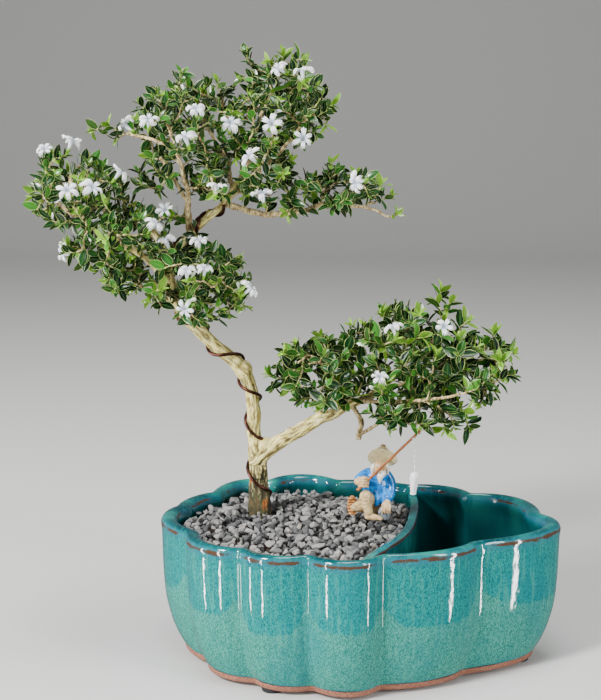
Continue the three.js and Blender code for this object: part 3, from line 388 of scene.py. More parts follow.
def leaf_finish():
    """Variegated serissa leaf: waxy, deep green with a thin cream margin and a faint rib; the
    youngest are bright yellow-green. A little light comes through the blade."""
    f = Finish("variegated_serissa_leaf")
    margin = f.add("Attribute", attribute_name="margin", out="Fac")
    tone = f.add("Attribute", attribute_name="tone", out="Fac")
    young = f.add("Attribute", attribute_name="young", out="Fac")
    old = f.add("ValToRGB", {0: tone}, stops=[
        (0.0, "#05170c"), (0.45, "#0a2d15"), (0.8, "#164b1e"), (1.0, "#3d8628"),
    ])
    blade = f.add("Mix", {0: young, 6: old, 7: "#93cc34"}, **OF_COLOURS)
    rib = f.add("MapRange", {0: margin, 1: -0.6, 2: -1.0, 3: 0.0, 4: 0.3})
    blade = f.add("Mix", {0: rib, 6: blade, 7: "#6f9a4a"}, **OF_COLOURS)
    rim = f.add("MapRange", {0: margin, 1: 0.58, 2: 0.8, 3: 0.0, 4: 0.85})
    blade = f.add("Mix", {0: rim, 6: blade, 7: "#cfdc86"}, **OF_COLOURS)
    wax = f.add("BsdfPrincipled", {"Base Color": blade, "Roughness": 0.22, "IOR": 1.5})
    through = f.add("BsdfTranslucent", {"Color": blade})
    shader = f.add("MixShader", {0: 0.16, 1: wax, 2: through})
    f.add("OutputMaterial", {"Surface": shader})
    return f.material


def twig_finish():
    """Young serissa wood: pale tan bark in fine flakes, grey in between, greener at the tips."""
    f = Finish("young_serissa_wood")
    where = f.add("TexCoord", out="Object")
    young = f.add("Attribute", attribute_name="young", out="Fac")
    grain_at = f.add("Mapping", {"Vector": where, "Scale": every(1.5, 1.5, 4)})
    grain = f.add("TexNoise", {"Vector": grain_at, "Scale": 1, "Detail": 3})
    body = f.add("ValToRGB", {0: grain}, stops=[(0.34, "#5f4d34"), (0.47, "#a8905f"), (0.64, "#dccb98")])
    body = f.add("Mix", {0: young, 6: body, 7: "#86a83c"}, **OF_COLOURS)
    bumps = f.add("Bump", {"Strength": 0.8, "Distance": 0.0005, "Height": grain})
    shader = f.add("BsdfPrincipled", {"Base Color": body, "Roughness": 0.7, "Normal": bumps})
    f.add("OutputMaterial", {"Surface": shader})
    return f.material


def petal_finish():
    """Serissa petal: thin matt white, with a painted grey-violet shade down in the throat and a tube
    tinged with green."""
    f = Finish("white_serissa_petal")
    throat = f.add("Attribute", attribute_name="throat", out="Fac")
    # the grey-violet at 0.5, where the tube opens into the lobes, is painted shade; the green at 1 is the
    # tube's own tinge
    body = f.add("ValToRGB", {0: throat}, stops=[
        (0.0, "#ffffff"), (0.3, "#f4f6fc"), (0.5, "#c9d1e2"), (0.75, "#e6ebf0"), (1.0, "#cfdcae"),
    ])
    face = f.add("BsdfPrincipled", {"Base Color": body, "Roughness": 0.55, "IOR": 1.4})
    through = f.add("BsdfTranslucent", {"Color": body})
    shader = f.add("MixShader", {0: 0.25, 1: face, 2: through})
    f.add("OutputMaterial", {"Surface": shader})
    return f.material


def painted_clay_finish(name, dark, light, roughness, grain_mm, strength=0.3):
    """Modelled clay with a thin glaze that pools in the hollows and thins on the edges."""
    f = Finish(name)
    where = f.add("TexCoord", out="Object")
    pools_at = f.add("Mapping", {"Vector": where, "Scale": every(*[grain_mm] * 3)})
    pools = f.add("TexNoise", {"Vector": pools_at, "Scale": 1, "Detail": 3})
    body = f.add("ValToRGB", {0: pools}, stops=[(0.35, dark), (0.65, light)])
    skin = f.add("Bump", {"Strength": strength, "Distance": 0.0003, "Height": pools})
    shader = f.add("BsdfPrincipled", {
        "Base Color": body, "Roughness": roughness, "IOR": 1.5, "Normal": skin,
    })
    f.add("OutputMaterial", {"Surface": shader})
    return f.material


def bamboo_finish():
    """Split bamboo rod, stained orange-brown: satin, with long fibres 0.6 mm apart."""
    f = Finish("stained_split_bamboo")
    where = f.add("TexCoord", out="Object")
    turned = f.add("Mapping", {"Vector": where, "Rotation": (0, math.radians(-45), 0)})
    fibres_at = f.add("Mapping", {"Vector": turned, "Scale": every(0.6, 0.6, 9)})
    fibres = f.add("TexNoise", {"Vector": fibres_at, "Scale": 1, "Detail": 2})
    body = f.add("ValToRGB", {0: fibres}, stops=[(0.35, "#7c4018"), (0.65, "#c57a3a")])
    shader = f.add("BsdfPrincipled", {"Base Color": body, "Roughness": 0.45})
    f.add("OutputMaterial", {"Surface": shader})
    return f.material


TWIST_SCALE = 160  # a slanted wave of this scale repeats every 4 mm down the line


def string_finish():
    """Twisted white cotton line: matt, with its twist painted in faint light and shade. The real twist of
    1 mm is too fine to show, so this one repeats every 4 mm."""
    f = Finish("twisted_cotton_line")
    where = f.add("TexCoord", out="Object")
    # light and dark bands painted along the line stand in for the light and shade of its twist
    twist = f.add("TexWave", {"Vector": where, "Scale": TWIST_SCALE, "Distortion": 1}, out="Fac",
                  bands_direction="DIAGONAL")
    body = f.add("ValToRGB", {0: twist}, stops=[(0.2, "#e2e0d8"), (0.8, "#fbfaf5")])
    shader = f.add("BsdfPrincipled", {"Base Color": body, "Roughness": 0.85})
    f.add("OutputMaterial", {"Surface": shader})
    return f.material


def floor_finish():
    """Plain pale studio floor."""
    f = Finish("pale_studio_floor")
    shader = f.add("BsdfPrincipled", {"Base Color": "#c9c8c5", "Roughness": 0.9})
    f.add("OutputMaterial", {"Surface": shader})
    return f.material


GLAZE = glaze_finish()
BARE_CLAY = bare_clay_finish()
RUBBER = rubber_finish()
SOIL = soil_finish()
STONE = stone_finish()
BARK = bark_finish()
WIRE = wire_finish()
LEAF = leaf_finish()
TWIG = twig_finish()
PETAL = petal_finish()
TUNIC_BLUE = painted_clay_finish("blue_glazed_clay", "#0660b0", "#1f93e6", 0.2, 3.0)
FIGURE_CLAY = painted_clay_finish("bare_modelled_clay", "#b29260", "#e0c794", 0.5, 2.4)
FACE_CLAY = painted_clay_finish("bare_clay_face", "#c09a68", "#e2c294", 0.5, 2.5, 0.15)
HAIR_WHITE = painted_clay_finish("white_glazed_clay", "#e2dfd4", "#fbf9f2", 0.4, 1.2)
HAT_STRAW = painted_clay_finish("straw_coloured_clay", "#e6d49a", "#fdf0c2", 0.5, 3.0)
RUST_CLAY = painted_clay_finish("rust_glazed_clay", "#9a5c2c", "#d09a5c", 0.4, 1.8)
CREEL_GREY = painted_clay_finish("grey_glazed_clay", "#4d5560", "#a9b2b8", 0.3, 2.0)
FISH_WHITE = painted_clay_finish("white_glazed_fish", "#eceeec", "#ffffff", 0.25, 2.0)
BAMBOO = bamboo_finish()
STRING = string_finish()

# ---------------------------------------------------------------- meshes


class Shape:
    """Corners, faces, a material for each face and named values for each corner, gathered part by
    part in layout millimetres."""

    def __init__(self, values=()):
        self.corners, self.faces, self.material_of = [], [], []
        self.values = {name: [] for name in values}
        self.count = 0

    def add(self, corners, faces, material=0, **values):
        """Adds a part, with the number of its material and its corners' values, which are 0 if not
        given."""
        corners = np.asarray(corners, float).reshape(-1, 3)
        self.corners.append(corners)
        self.faces.extend([tuple(int(i) + self.count for i in face) for face in faces])
        self.material_of.extend([material] * len(faces))
        for name, gathered in self.values.items():
            gathered.append(np.broadcast_to(np.asarray(values.get(name, 0.0), float), len(corners)))
        self.count += len(corners)

    def build(self, name, materials, smooth=True):
        """Makes one object of all the parts."""
        mesh = bpy.data.meshes.new(name)
        mesh.from_pydata(placed(np.concatenate(self.corners)).tolist(), [], self.faces)
        for material in materials:
            mesh.materials.append(material)
        mesh.polygons.foreach_set("material_index", self.material_of)
        mesh.polygons.foreach_set("use_smooth", [smooth] * len(self.faces))
        for value_name, gathered in self.values.items():
            made = mesh.attributes.new(value_name, "FLOAT", "POINT")
            made.data.foreach_set("value", np.concatenate(gathered))
        mesh.update()
        return new_object(name, mesh)


def grid_faces(rows, columns, closed=False, first=0):
    """Four-sided faces between rows of corners, closed round each row if asked."""
    faces = []
    for r in range(rows - 1):
        for c in range(columns if closed else columns - 1):
            d = (c + 1) % columns
            a = first + r * columns
            faces.append((a + c, a + d, a + columns + d, a + columns + c))
    return faces


def along_route(points, shares):
    """Points (and any further values, such as a radius) of a smooth line through points."""
    points = np.asarray(points, float)
    count = len(points)
    places = np.clip(np.asarray(shares, float), 0, 1) * (count - 1)
    i = np.minimum(places.astype(int), count - 2)
    t = (places - i)[:, None]
    padded = np.vstack([2 * points[0] - points[1], points, 2 * points[-1] - points[-2]])
    a, b, c, d = padded[i], padded[i + 1], padded[i + 2], padded[i + 3]
    return 0.5 * (2 * b + (c - a) * t + (2 * a - 5 * b + 4 * c - d) * t**2
                  + (3 * b - a - 3 * c + d) * t**3)


def unit(vectors):
    """Vectors made 1 long."""
    vectors = np.asarray(vectors, float)
    return vectors / np.maximum(np.linalg.norm(vectors, axis=-1, keepdims=True), 1e-9)


def steps_along(line):
    """How far each point of a line lies from the one before it."""
    return np.linalg.norm(np.diff(line, axis=0), axis=1)


def distances_along(line):
    """How far along a line each of its points lies."""
    return np.concatenate([[0], np.cumsum(steps_along(line))])


def frames_along(line):
    """The way, a side and a front at each point of a line, turned as little as can be."""
    ways = unit(np.gradient(line, axis=0))
    side = np.cross(ways[0], (0, 0, 1) if abs(ways[0][2]) < 0.9 else (0, 1, 0))
    sides = []
    for way in ways:
        side = side - way * side.dot(way)
        side = side / np.linalg.norm(side)
        sides.append(side)
    sides = np.array(sides)
    return ways, sides, np.cross(ways, sides)


def tube(line, radii, sides=8, caps=True):
    """Corners and faces of a round bar along a line, with a radius at each of its points."""
    line = np.asarray(line, float)
    radii = np.broadcast_to(np.asarray(radii, float), len(line))
    _, side, front = frames_along(line)
    angle = np.arange(sides) * 2 * math.pi / sides
    ring = side[:, None] * np.cos(angle)[:, None] + front[:, None] * np.sin(angle)[:, None]
    corners = (line[:, None] + ring * radii[:, None, None]).reshape(-1, 3)
    faces = grid_faces(len(line), sides, closed=True)
    if caps:
        faces.append(tuple(range(sides))[::-1])
        faces.append(tuple(range(len(corners) - sides, len(corners))))
    return corners, faces


def ball(middle, half, across=16, down=12):
    """Corners and faces of an egg shape with half-sizes along x, y and z."""
    angle = np.arange(across) * 2 * math.pi / across
    rise = np.linspace(-math.pi / 2, math.pi / 2, down)[1:-1]
    flat = np.cos(rise)[:, None]
    rings = np.stack([flat * np.cos(angle), flat * np.sin(angle),
                      np.sin(rise)[:, None] * np.ones(across)], axis=2).reshape(-1, 3)
    corners = np.vstack([rings, [(0, 0, -1), (0, 0, 1)]]) * half + middle
    faces = grid_faces(down - 2, across, closed=True)
    bottom, top, last = len(corners) - 2, len(corners) - 1, (down - 3) * across
    faces += [(bottom, (c + 1) % across, c) for c in range(across)]
    faces += [(top, last + c, last + (c + 1) % across) for c in range(across)]
    return corners, faces


def spun(profile, sides=32):
    """Corners and faces of an outline [radius, height] turned round the upright axis."""
    angle = np.arange(sides) * 2 * math.pi / sides
    corners = [[(r * math.cos(a), r * math.sin(a), z) for a in angle] for r, z in profile]
    return np.array(corners, float).reshape(-1, 3), grid_faces(len(profile), sides, closed=True)


def melted(piece, grain, smoothing):
    """Fuses a piece's overlapping parts into one skin, as wet clay or grown wood is fused, with
    corners a grain apart in millimetres, and smooths it so many times."""
    fuse = piece.modifiers.new("fuse", "REMESH")
    fuse.mode, fuse.voxel_size, fuse.use_smooth_shade = "VOXEL", grain * MM, True
    ease = piece.modifiers.new("ease", "SMOOTH")
    ease.factor, ease.iterations = 0.5, smoothing
    bpy.context.view_layer.update()
    made = bpy.data.meshes.new_from_object(piece.evaluated_get(bpy.context.evaluated_depsgraph_get()))
    for material in piece.data.materials:
        if material.name not in made.materials:
            made.materials.append(material)
    piece.modifiers.clear()
    piece.data = made
    return piece


def corners_of(piece):
    """A piece's corners in layout millimetres."""
    flat = np.empty(len(piece.data.vertices) * 3)
    piece.data.vertices.foreach_get("co", flat)
    return laid_out(flat.reshape(-1, 3))


def set_corners(piece, corners):
    """Moves a piece's corners to places in layout millimetres."""
    piece.data.vertices.foreach_set("co", placed(corners).ravel())
    piece.data.update()


def set_values(piece, name, values):
    """Gives each corner of a piece a named value that its material can read."""
    made = piece.data.attributes.new(name, "FLOAT", "POINT")
    made.data.foreach_set("value", np.asarray(values, float))


def finish_piece(piece, slot, *nodes):
    """A dressed piece rides on the part's only body, and stands for CAD nodes if any are named."""
    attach(piece, "root")
    if nodes:
        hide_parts(*nodes)
    return piece


# ---------------------------------------------------------------- line and fish

ROD_BUTT, ROD_TIP, ROD_RADIUS = (0.7, 11, 111.8), (46.7, 9, 157.8), 1.0
LINE_DIAMETER = 1.0
LINE_TURNS, LINE_PITCH, LINE_AWAY = 2, 4.2, 1.8
LINE_FROM_TIP = 0.8  # where the turns end, short of the rod's tip
POINTS_A_TURN = 6
LINE_DROP = [(41.4, 8.2, 146), (41.7, 9, 140), (41.9, 9.2, 132), (42.1, 9.3, 126.5)]
FISH_TOP = (42.1, 9.3, 126)
# The fish from its mouth down: radius and height
FISH_PROFILE = [(0.2, 0), (1.5, -0.4), (2.6, -1.5), (3.0, -4), (2.8, -7.5), (2.4, -11), (2.0, -14),
                (1.95, -16), (1.8, -16.9), (0.2, -17)]
FISH_FINS, FISH_FLATNESS, FISH_ASKEW = 0.12, 0.5, 0.07  # each as a share


def line_route():
    """Two turns round the rod's tip, and then down to the fish."""
    butt, tip = np.array(ROD_BUTT, float), np.array(ROD_TIP, float)
    way = unit(tip - butt)
    side = unit(np.cross((0, -1, 0), way))
    front = np.cross(way, side)
    start = tip - way * (LINE_PITCH * LINE_TURNS + LINE_FROM_TIP)
    turns = []
    for step in range(LINE_TURNS * POINTS_A_TURN + 1):
        angle = step / POINTS_A_TURN * 2 * math.pi
        out = front * math.cos(angle) - side * math.sin(angle)
        turns.append(start + way * LINE_PITCH * step / POINTS_A_TURN + out * LINE_AWAY)
    return np.array(turns[::-1] + [np.array(p, float) for p in LINE_DROP])


def make_fish():
    """A flat white fish hung by its mouth: a blunt head above, which tapers to a cut tail."""
    corners, faces = spun(along_route(FISH_PROFILE, np.linspace(0, 1, 40)), 28)
    fins = 1 + FISH_FINS * np.cos(4 * np.arctan2(corners[:, 1], corners[:, 0]))
    corners[:, :2] *= fins[:, None]
    corners[:, 1] *= FISH_FLATNESS
    corners[:, 0] += FISH_ASKEW * corners[:, 2]
    shape = Shape()
    shape.add(corners + FISH_TOP, faces)
    fish = shape.build("hanging_fish", [FISH_WHITE])
    return finish_piece(fish, "fish_glaze", "fish")


def make_line(fish):
    """The fishing line, a cord with the fish on its end."""
    dense = along_route(line_route(), np.linspace(0, 1, 90))
    data = bpy.data.curves.new("fishing_line", "CURVE")
    data.dimensions, data.bevel_depth, data.bevel_resolution = "3D", LINE_DIAMETER / 2 * MM, 3
    data.use_fill_caps = True
    spline = data.splines.new("POLY")
    spline.points.add(len(dense) - 1)
    for point, place in zip(spline.points, placed(dense)):
        point.co = (*place, 1)
    data.materials.append(STRING)
    line = finish_piece(new_object("fishing_line", data), "string", "line")


make_line(make_fish())

# ---------------------------------------------------------------- pot

# The bare foot from the underside, round its ring and up to the glaze: share of the rim's reach
# and height
FOOT_PROFILE = [(0.75, 2.5), (0.762, 2.2), (0.767, 1), (0.768, -1.9), (0.775, -2.5), (0.872, -2.5),
                (0.884, -1.9), (0.887, -0.4), (0.887, 1.4)]
# The glazed wall from the foot, over the lip and down inside: share of the rim's reach, height,
# how far inside the glaze is (0 outside), and how sharp the edge is, where the glaze breaks
WALL_PROFILE = [
    (0.888, 1.7, 0, 0.75), (0.893, 2.2, 0, 0.7), (0.901, 4, 0, 0.3), (0.922, 9, 0, 0),
    (0.941, 15, 0, 0), (0.954, 20, 0, 0), (0.966, 26, 0, 0), (0.975, 31, 0, 0), (0.984, 38, 0, 0),
    (0.99, 46.5, 0, 0), (0.995, 60, 0, 0), (0.997, 72, 0, 0), (0.998, 80, 0, 0.05),
    (0.999, 85, 0, 0.2), (1.001, 88, 0, 0.45), (1.003, 90.4, 0.0, 0.9), (1.001, 92.2, 0.05, 0.95),
    (0.993, 94.1, 0.2, 0.45), (0.98, 95.2, 0.32, 0.1), (0.965, 95.5, 0.36, 0.0),
    (0.95, 95.3, 0.38, 0.0), (0.935, 94.6, 0.42, 0.25), (0.922, 93, 0.5, 0.85), (0.914, 90.8, 0.6, 0.7),
    (0.913, 88, 0.7, 0.2), (0.919, 85, 0.75, 0), (0.93, 80, 0.8, 0), (0.935, 68, 0.85, 0),
    (0.935, 50, 0.95, 0), (0.927, 40, 1, 0), (0.915, 30, 1, 0), (0.895, 22, 1, 0),
    (0.87, 16, 1, 0), (0.84, 12, 1, 0), (0.8, 11, 1, 0),
]
WALL_RINGS, FOOT_RINGS, FLOOR_RINGS = 84, 22, 6
DIVIDER_RINGS, DIVIDER_POINTS = 49, 60
WALL_HALF_THICKNESS = 0.03  # as a share of the rim's reach
OUTSIDE_BELOW = 0.02  # a ring of the profile is outside if it is less far inside than this
GLAZED, BARE = 0, 1  # the pot's materials
GLAZE_SEED = 31
GLAZE_EDGE_WAVE, GLAZE_EDGE_WAVE_LENGTH = 1.1, 26  # how the glaze ends above the foot
GLAZE_EDGE_FADE = 6  # height at which that wave has died out
COAT_END_LOW, COAT_END_HIGH = 40.0, 48.0  # where the upper coat ends in the middle of the lobes
COAT_END_LIFT, COAT_END_SHARPNESS = 22.0, 6  # and how much higher it ends at their grooves
COAT_END_ROUNDING = 2  # steps of the outline over which that is rounded off
BREAK_IN_GROOVES, GROOVE_SHARPNESS = 0.45, 8  # how far the rim's glaze breaks in the grooves


def ring_wall(profile, outline):
    """Corners of an outline repeated along a profile [share, height], and their faces."""
    corners = [np.column_stack([outline * share, np.full(len(outline), height)])
               for share, height in profile]
    return np.concatenate(corners), grid_faces(len(profile), len(outline), closed=True)


def glaze_edge_wave(outline):
    """How much lower or higher the glaze ends round the foot, in millimetres."""
    wave = [noise.noise((x / GLAZE_EDGE_WAVE_LENGTH, y / GLAZE_EDGE_WAVE_LENGTH, 3.1)) for x, y in outline]
    return np.array([GLAZE_EDGE_WAVE * height for height in wave])


def divider_edge(offset):
    """The dividing wall's middle line in plan, moved towards the land side by an offset."""
    line = along_route(DIVIDER_LINE, np.linspace(0, 1, DIVIDER_POINTS))
    way = unit(np.gradient(line, axis=0))
    return line + np.column_stack([way[:, 1], -way[:, 0]]) * offset


def wall_middle(heights):
    """The share of the rim's reach at which the pot's wall is half way through, by height."""
    outer = [(height, share) for share, height, inside, _ in WALL_PROFILE if inside < OUTSIDE_BELOW]
    return np.interp(heights, *zip(*outer)) - WALL_HALF_THICKNESS


def make_divider(shape):
    """The wall between land and water: glazed, with a rounded top whose edges break brown. Its ends
    run into the pot's wall."""
    half = DIVIDER_WIDTH / 2
    # place across the wall, height, how far inside the glaze is, and how sharp the edge is
    outline = [(half, FLOOR_HEIGHT - 1, 0.9, 0), (half, 60, 0.85, 0), (half, 84, 0.8, 0),
               (half, 86.8, 0.6, 0.4), (half * 0.9, 88.9, 0.5, 0.7), (half * 0.6, 89.8, 0.4, 0.2),
               (0, DIVIDER_TOP, 0.36, 0), (-half * 0.6, 89.8, 0.36, 0.4),
               (-half * 0.9, 88.9, 0.45, 1.05), (-half, 86.8, 0.5, 0.7), (-half, 84, 0.5, 0.1),
               (-half, 60, 0.6, 0), (-half, FLOOR_HEIGHT - 1, 0.8, 0)]
    dense = along_route(outline, np.linspace(0, 1, DIVIDER_RINGS))
    corners = np.concatenate([
        np.column_stack([divider_edge(offset), np.full(DIVIDER_POINTS, height)])
        for offset, height, *_ in dense
    ])
    most = wall_middle(corners[:, 2])
    corners[:, :2] *= np.minimum(1, most / reach_share(corners[:, :2]))[:, None]
    inside, edge = np.repeat(dense[:, 2:], DIVIDER_POINTS, axis=0).T
    shape.add(corners, grid_faces(DIVIDER_RINGS, DIVIDER_POINTS), GLAZED, inside=inside, edge=edge)


def reach_share(points):
    """How far points in plan lie from the pot's centre, as a share of the rim's reach there."""
    points = np.asarray(points, float)
    rim_angle = np.unwrap(np.arctan2(RIM[:, 1], RIM[:, 0]))
    rim_reach = np.linalg.norm(RIM, axis=1)
    angle = np.arctan2(points[:, 1], points[:, 0])
    angle = np.mod(angle - rim_angle[0], 2 * math.pi) + rim_angle[0]
    return np.linalg.norm(points, axis=1) / np.interp(angle, rim_angle, rim_reach)


def floor_rings(outline, height):
    """Rings of a flat floor, from an outline in to the drain hole."""
    hole = DRAIN_HOLE + unit(outline - DRAIN_HOLE) * DRAIN_RADIUS
    rings = [outline + (hole - outline) * share for share in np.linspace(0, 1, FLOOR_RINGS)]
    return [np.column_stack([ring, np.full(len(ring), height)]) for ring in rings]


def lobe_shares():
    """How far along its lobe each corner of the rim's outline lies, from 0 to 1."""
    return (np.arange(len(RIM)) % LOBE_STEPS + 0.5) / LOBE_STEPS


def coat_ends():
    """Where the upper coat of glaze ends round the rim: low in the middle of each lobe, and high at
    its grooves. In metres above the table."""
    rng = np.random.default_rng(GLAZE_SEED)
    low = np.repeat(rng.uniform(COAT_END_LOW, COAT_END_HIGH, len(LOBES)), LOBE_STEPS)
    ends = low + COAT_END_LIFT * np.abs(2 * lobe_shares() - 1) ** COAT_END_SHARPNESS
    nearby = range(-COAT_END_ROUNDING, COAT_END_ROUNDING + 1)
    ends = sum(np.roll(ends, k) for k in nearby) / len(nearby)
    return (ends - TABLE) * MM


def make_outer_wall(shape):
    """The glazed wall all round, from the foot over the lip and down inside. Its glaze breaks along
    the lobes, and stays whole in the grooves between them."""
    wall = along_route(WALL_PROFILE, np.linspace(0, 1, WALL_RINGS))
    corners, faces = ring_wall(wall[:, :2], RIM)
    wave = np.tile(glaze_edge_wave(RIM), WALL_RINGS)
    near_foot = np.clip(1 - corners[:, 2] / GLAZE_EDGE_FADE, 0, 1)
    outside = np.repeat(wall[:, 2] < OUTSIDE_BELOW, len(RIM))
    corners[:, 2] += wave * near_foot * outside
    inside, edge = np.clip(np.repeat(wall[:, 2:], len(RIM), axis=0), 0, 1).T
    lobes = 1 - np.abs(2 * lobe_shares() - 1) ** GROOVE_SHARPNESS
    breaking = BREAK_IN_GROOVES + (1 - BREAK_IN_GROOVES) * lobes
    shape.add(corners, faces, GLAZED, inside=inside, edge=edge * np.tile(breaking, WALL_RINGS),
              coat=np.tile(coat_ends(), WALL_RINGS))


def make_floors(shape):
    """The glazed floor inside, the drain hole's bare wall, the underside and the foot ring."""
    inner_floor = floor_rings(RIM * WALL_PROFILE[-1][0], FLOOR_HEIGHT)
    shape.add(np.concatenate(inner_floor), grid_faces(FLOOR_RINGS, len(RIM), closed=True), GLAZED, inside=1)
    underside = floor_rings(RIM * FOOT_PROFILE[0][0], UNDERSIDE_HEIGHT)[::-1]
    bare = np.concatenate([inner_floor[-1], *underside])
    shape.add(bare, grid_faces(1 + FLOOR_RINGS, len(RIM), closed=True), BARE)
    shape.add(*ring_wall(along_route(FOOT_PROFILE, np.linspace(0, 1, FOOT_RINGS)), RIM), BARE)


def make_pot():
    """The pot with its dividing wall, fired as one piece."""
    shape = Shape(["inside", "edge", "coat"])
    make_outer_wall(shape)
    make_floors(shape)
    make_divider(shape)
    return finish_piece(shape.build("glazed_pot", [GLAZE, BARE_CLAY]), "glaze", "pot")


make_pot()

for number in (1, 2, 3, 4):
    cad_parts[f"foot_pad_{number}"].data.materials[0] = RUBBER
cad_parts["soil"].data.materials[0] = SOIL

# ---------------------------------------------------------------- gravel

GRAVEL_SEED = 907
STONE_KINDS, STONE_POINTS = 16, 13
STONE_HALF_WIDTH, STONE_EDGE = 0.5, 0.032  # of a stone that is 1 across
# How far out its points lie, and its depth and its height, as shares of its width
STONE_REACHES, STONE_DEPTHS, STONE_HEIGHTS = (0.75, 1.0), (0.62, 0.95), (0.42, 0.72)
STONE_SIZES, STONES_WORN = (6.2, 11.0), (0.85, 1.0)  # across, and the share of that which is left
STONE_SPACING, STONE_SCATTER = 5.6, 0.42  # millimetres, and share of that
LAND_ACROSS, LAND_ALONG = (-125, 50), (-100, 100)  # the land side's reach along x and y
LOWER_LAYER, UPPER_LAYER = 6.2, 2.2  # how deep the middles of the two layers lie
LAYER_UNEVENNESS = 1.3
# how far below the gravel's top a stone is painted fully dark, as painted shade between the stones
FULL_SHADE_DEPTH = 7  # where stones lie in full shade
STONES_SETTLED = (1, 1, 0.85)  # stones lie a little flatter than they are drawn
WALL_CLEARANCE, TRUNK_CLEARANCE = 2.0, 7
ROUGH_REACH = 110  # of the rim, to take a clearance as a share of it
TRUNK_FOOT = (-70, 38)


def on_land(points, clear=0.0):
    """Which points in plan lie inside the pot and on the land side of the dividing wall."""
    edge = divider_edge(DIVIDER_WIDTH / 2 + clear)
    order = np.argsort(edge[:, 1])
    wall_x = np.interp(points[:, 1], edge[order, 1], edge[order, 0])
    return (points[:, 0] < wall_x) & (reach_share(points) < GRAVEL_REACH - clear / ROUGH_REACH)


def gravel_top(points):
    """Height of the gravel at points in plan: a low mound round the trunk's foot."""
    away = np.linalg.norm(points - TRUNK_FOOT, axis=1) / GRAVEL_MOUND_REACH
    return GRAVEL_EDGE_TOP + GRAVEL_MOUND * np.maximum(0, 1 - away**2)


def broken_stone(rng, rubbed=True):
    """A broken stone: the hull of a few scattered points, flattened, with its edges rubbed if
    asked."""
    points = unit(rng.normal(size=(STONE_POINTS, 3))) * rng.uniform(*STONE_REACHES, (STONE_POINTS, 1))
    shares = (1, rng.uniform(*STONE_DEPTHS), rng.uniform(*STONE_HEIGHTS))
    points *= [STONE_HALF_WIDTH * share for share in shares]
    body = bmesh.new()
    for point in points:
        body.verts.new(point)
    hull = bmesh.ops.convex_hull(body, input=body.verts)
    left_over = hull["geom_interior"] + hull["geom_unused"]
    inner = dict.fromkeys(part for part in left_over if isinstance(part, bmesh.types.BMVert))
    bmesh.ops.delete(body, geom=list(inner), context="VERTS")
    if rubbed:
        bmesh.ops.bevel(body, geom=body.edges[:], offset=STONE_EDGE, segments=1, affect="EDGES",
                        clamp_overlap=True)
    body.verts.index_update()
    corners = np.array([v.co for v in body.verts])
    faces = [[v.index for v in face.verts] for face in body.faces]
    body.free()
    return corners, faces


def random_turn(rng):
    """A rotation matrix drawn evenly, from a random unit quaternion."""
    w, x, y, z = unit(rng.normal(size=4))
    return np.array([
        [1 - 2 * (y * y + z * z), 2 * (x * y - w * z), 2 * (x * z + w * y)],
        [2 * (x * y + w * z), 1 - 2 * (x * x + z * z), 2 * (y * z - w * x)],
        [2 * (x * z - w * y), 2 * (y * z + w * x), 1 - 2 * (x * x + y * y)],
    ])


def stone_spots(rng, kinds, depth):
    """Places of one layer's stones, in scattered rows, each with the kinds it is drawn from."""
    across = np.arange(*LAND_ACROSS, STONE_SPACING)
    along = np.arange(*LAND_ALONG, STONE_SPACING)
    grid = np.array([(x + (j % 2) * STONE_SPACING / 2, y) for j, y in enumerate(along) for x in across])
    grid += rng.uniform(-STONE_SCATTER, STONE_SCATTER, grid.shape) * STONE_SPACING
    grid = grid[on_land(grid, WALL_CLEARANCE)]
    heights = gravel_top(grid) - depth + rng.uniform(-LAYER_UNEVENNESS, LAYER_UNEVENNESS, len(grid))
    return [(x, y, z, kinds) for (x, y), z in zip(grid, heights)]


def make_gravel():
    """A bed of stones on the soil: a loose layer of sharp ones under a layer of rubbed ones."""
    rng = np.random.default_rng(GRAVEL_SEED)
    rubbed_kinds = [broken_stone(rng) for _ in range(STONE_KINDS)]
    sharp_kinds = [broken_stone(rng, rubbed=False) for _ in range(STONE_KINDS)]
    shape = Shape(["tone"])
    spots = stone_spots(rng, sharp_kinds, LOWER_LAYER) + stone_spots(rng, rubbed_kinds, UPPER_LAYER)
    for x, y, z, kinds in spots:
        if math.hypot(x - TRUNK_FOOT[0], y - TRUNK_FOOT[1]) < TRUNK_CLEARANCE:
            continue
        corners, faces = kinds[rng.integers(STONE_KINDS)]
        size = rng.uniform(*STONE_SIZES) * rng.uniform(*STONES_WORN)
        turned = (corners * size) @ random_turn(rng).T * STONES_SETTLED
        # stones that lie deeper get a darker tone: painted shade in the gaps of the bed
        painted_shade = np.clip((gravel_top(np.array([[x, y]]))[0] - z) / FULL_SHADE_DEPTH, 0, 1)
        shape.add(turned + (x, y, z), faces, tone=rng.uniform() * (1 - painted_shade))
    stones = shape.build("gravel_stones", [STONE], smooth=False)
    return finish_piece(stones, "gravel", "gravel")


make_gravel()

# ---------------------------------------------------------------- wood

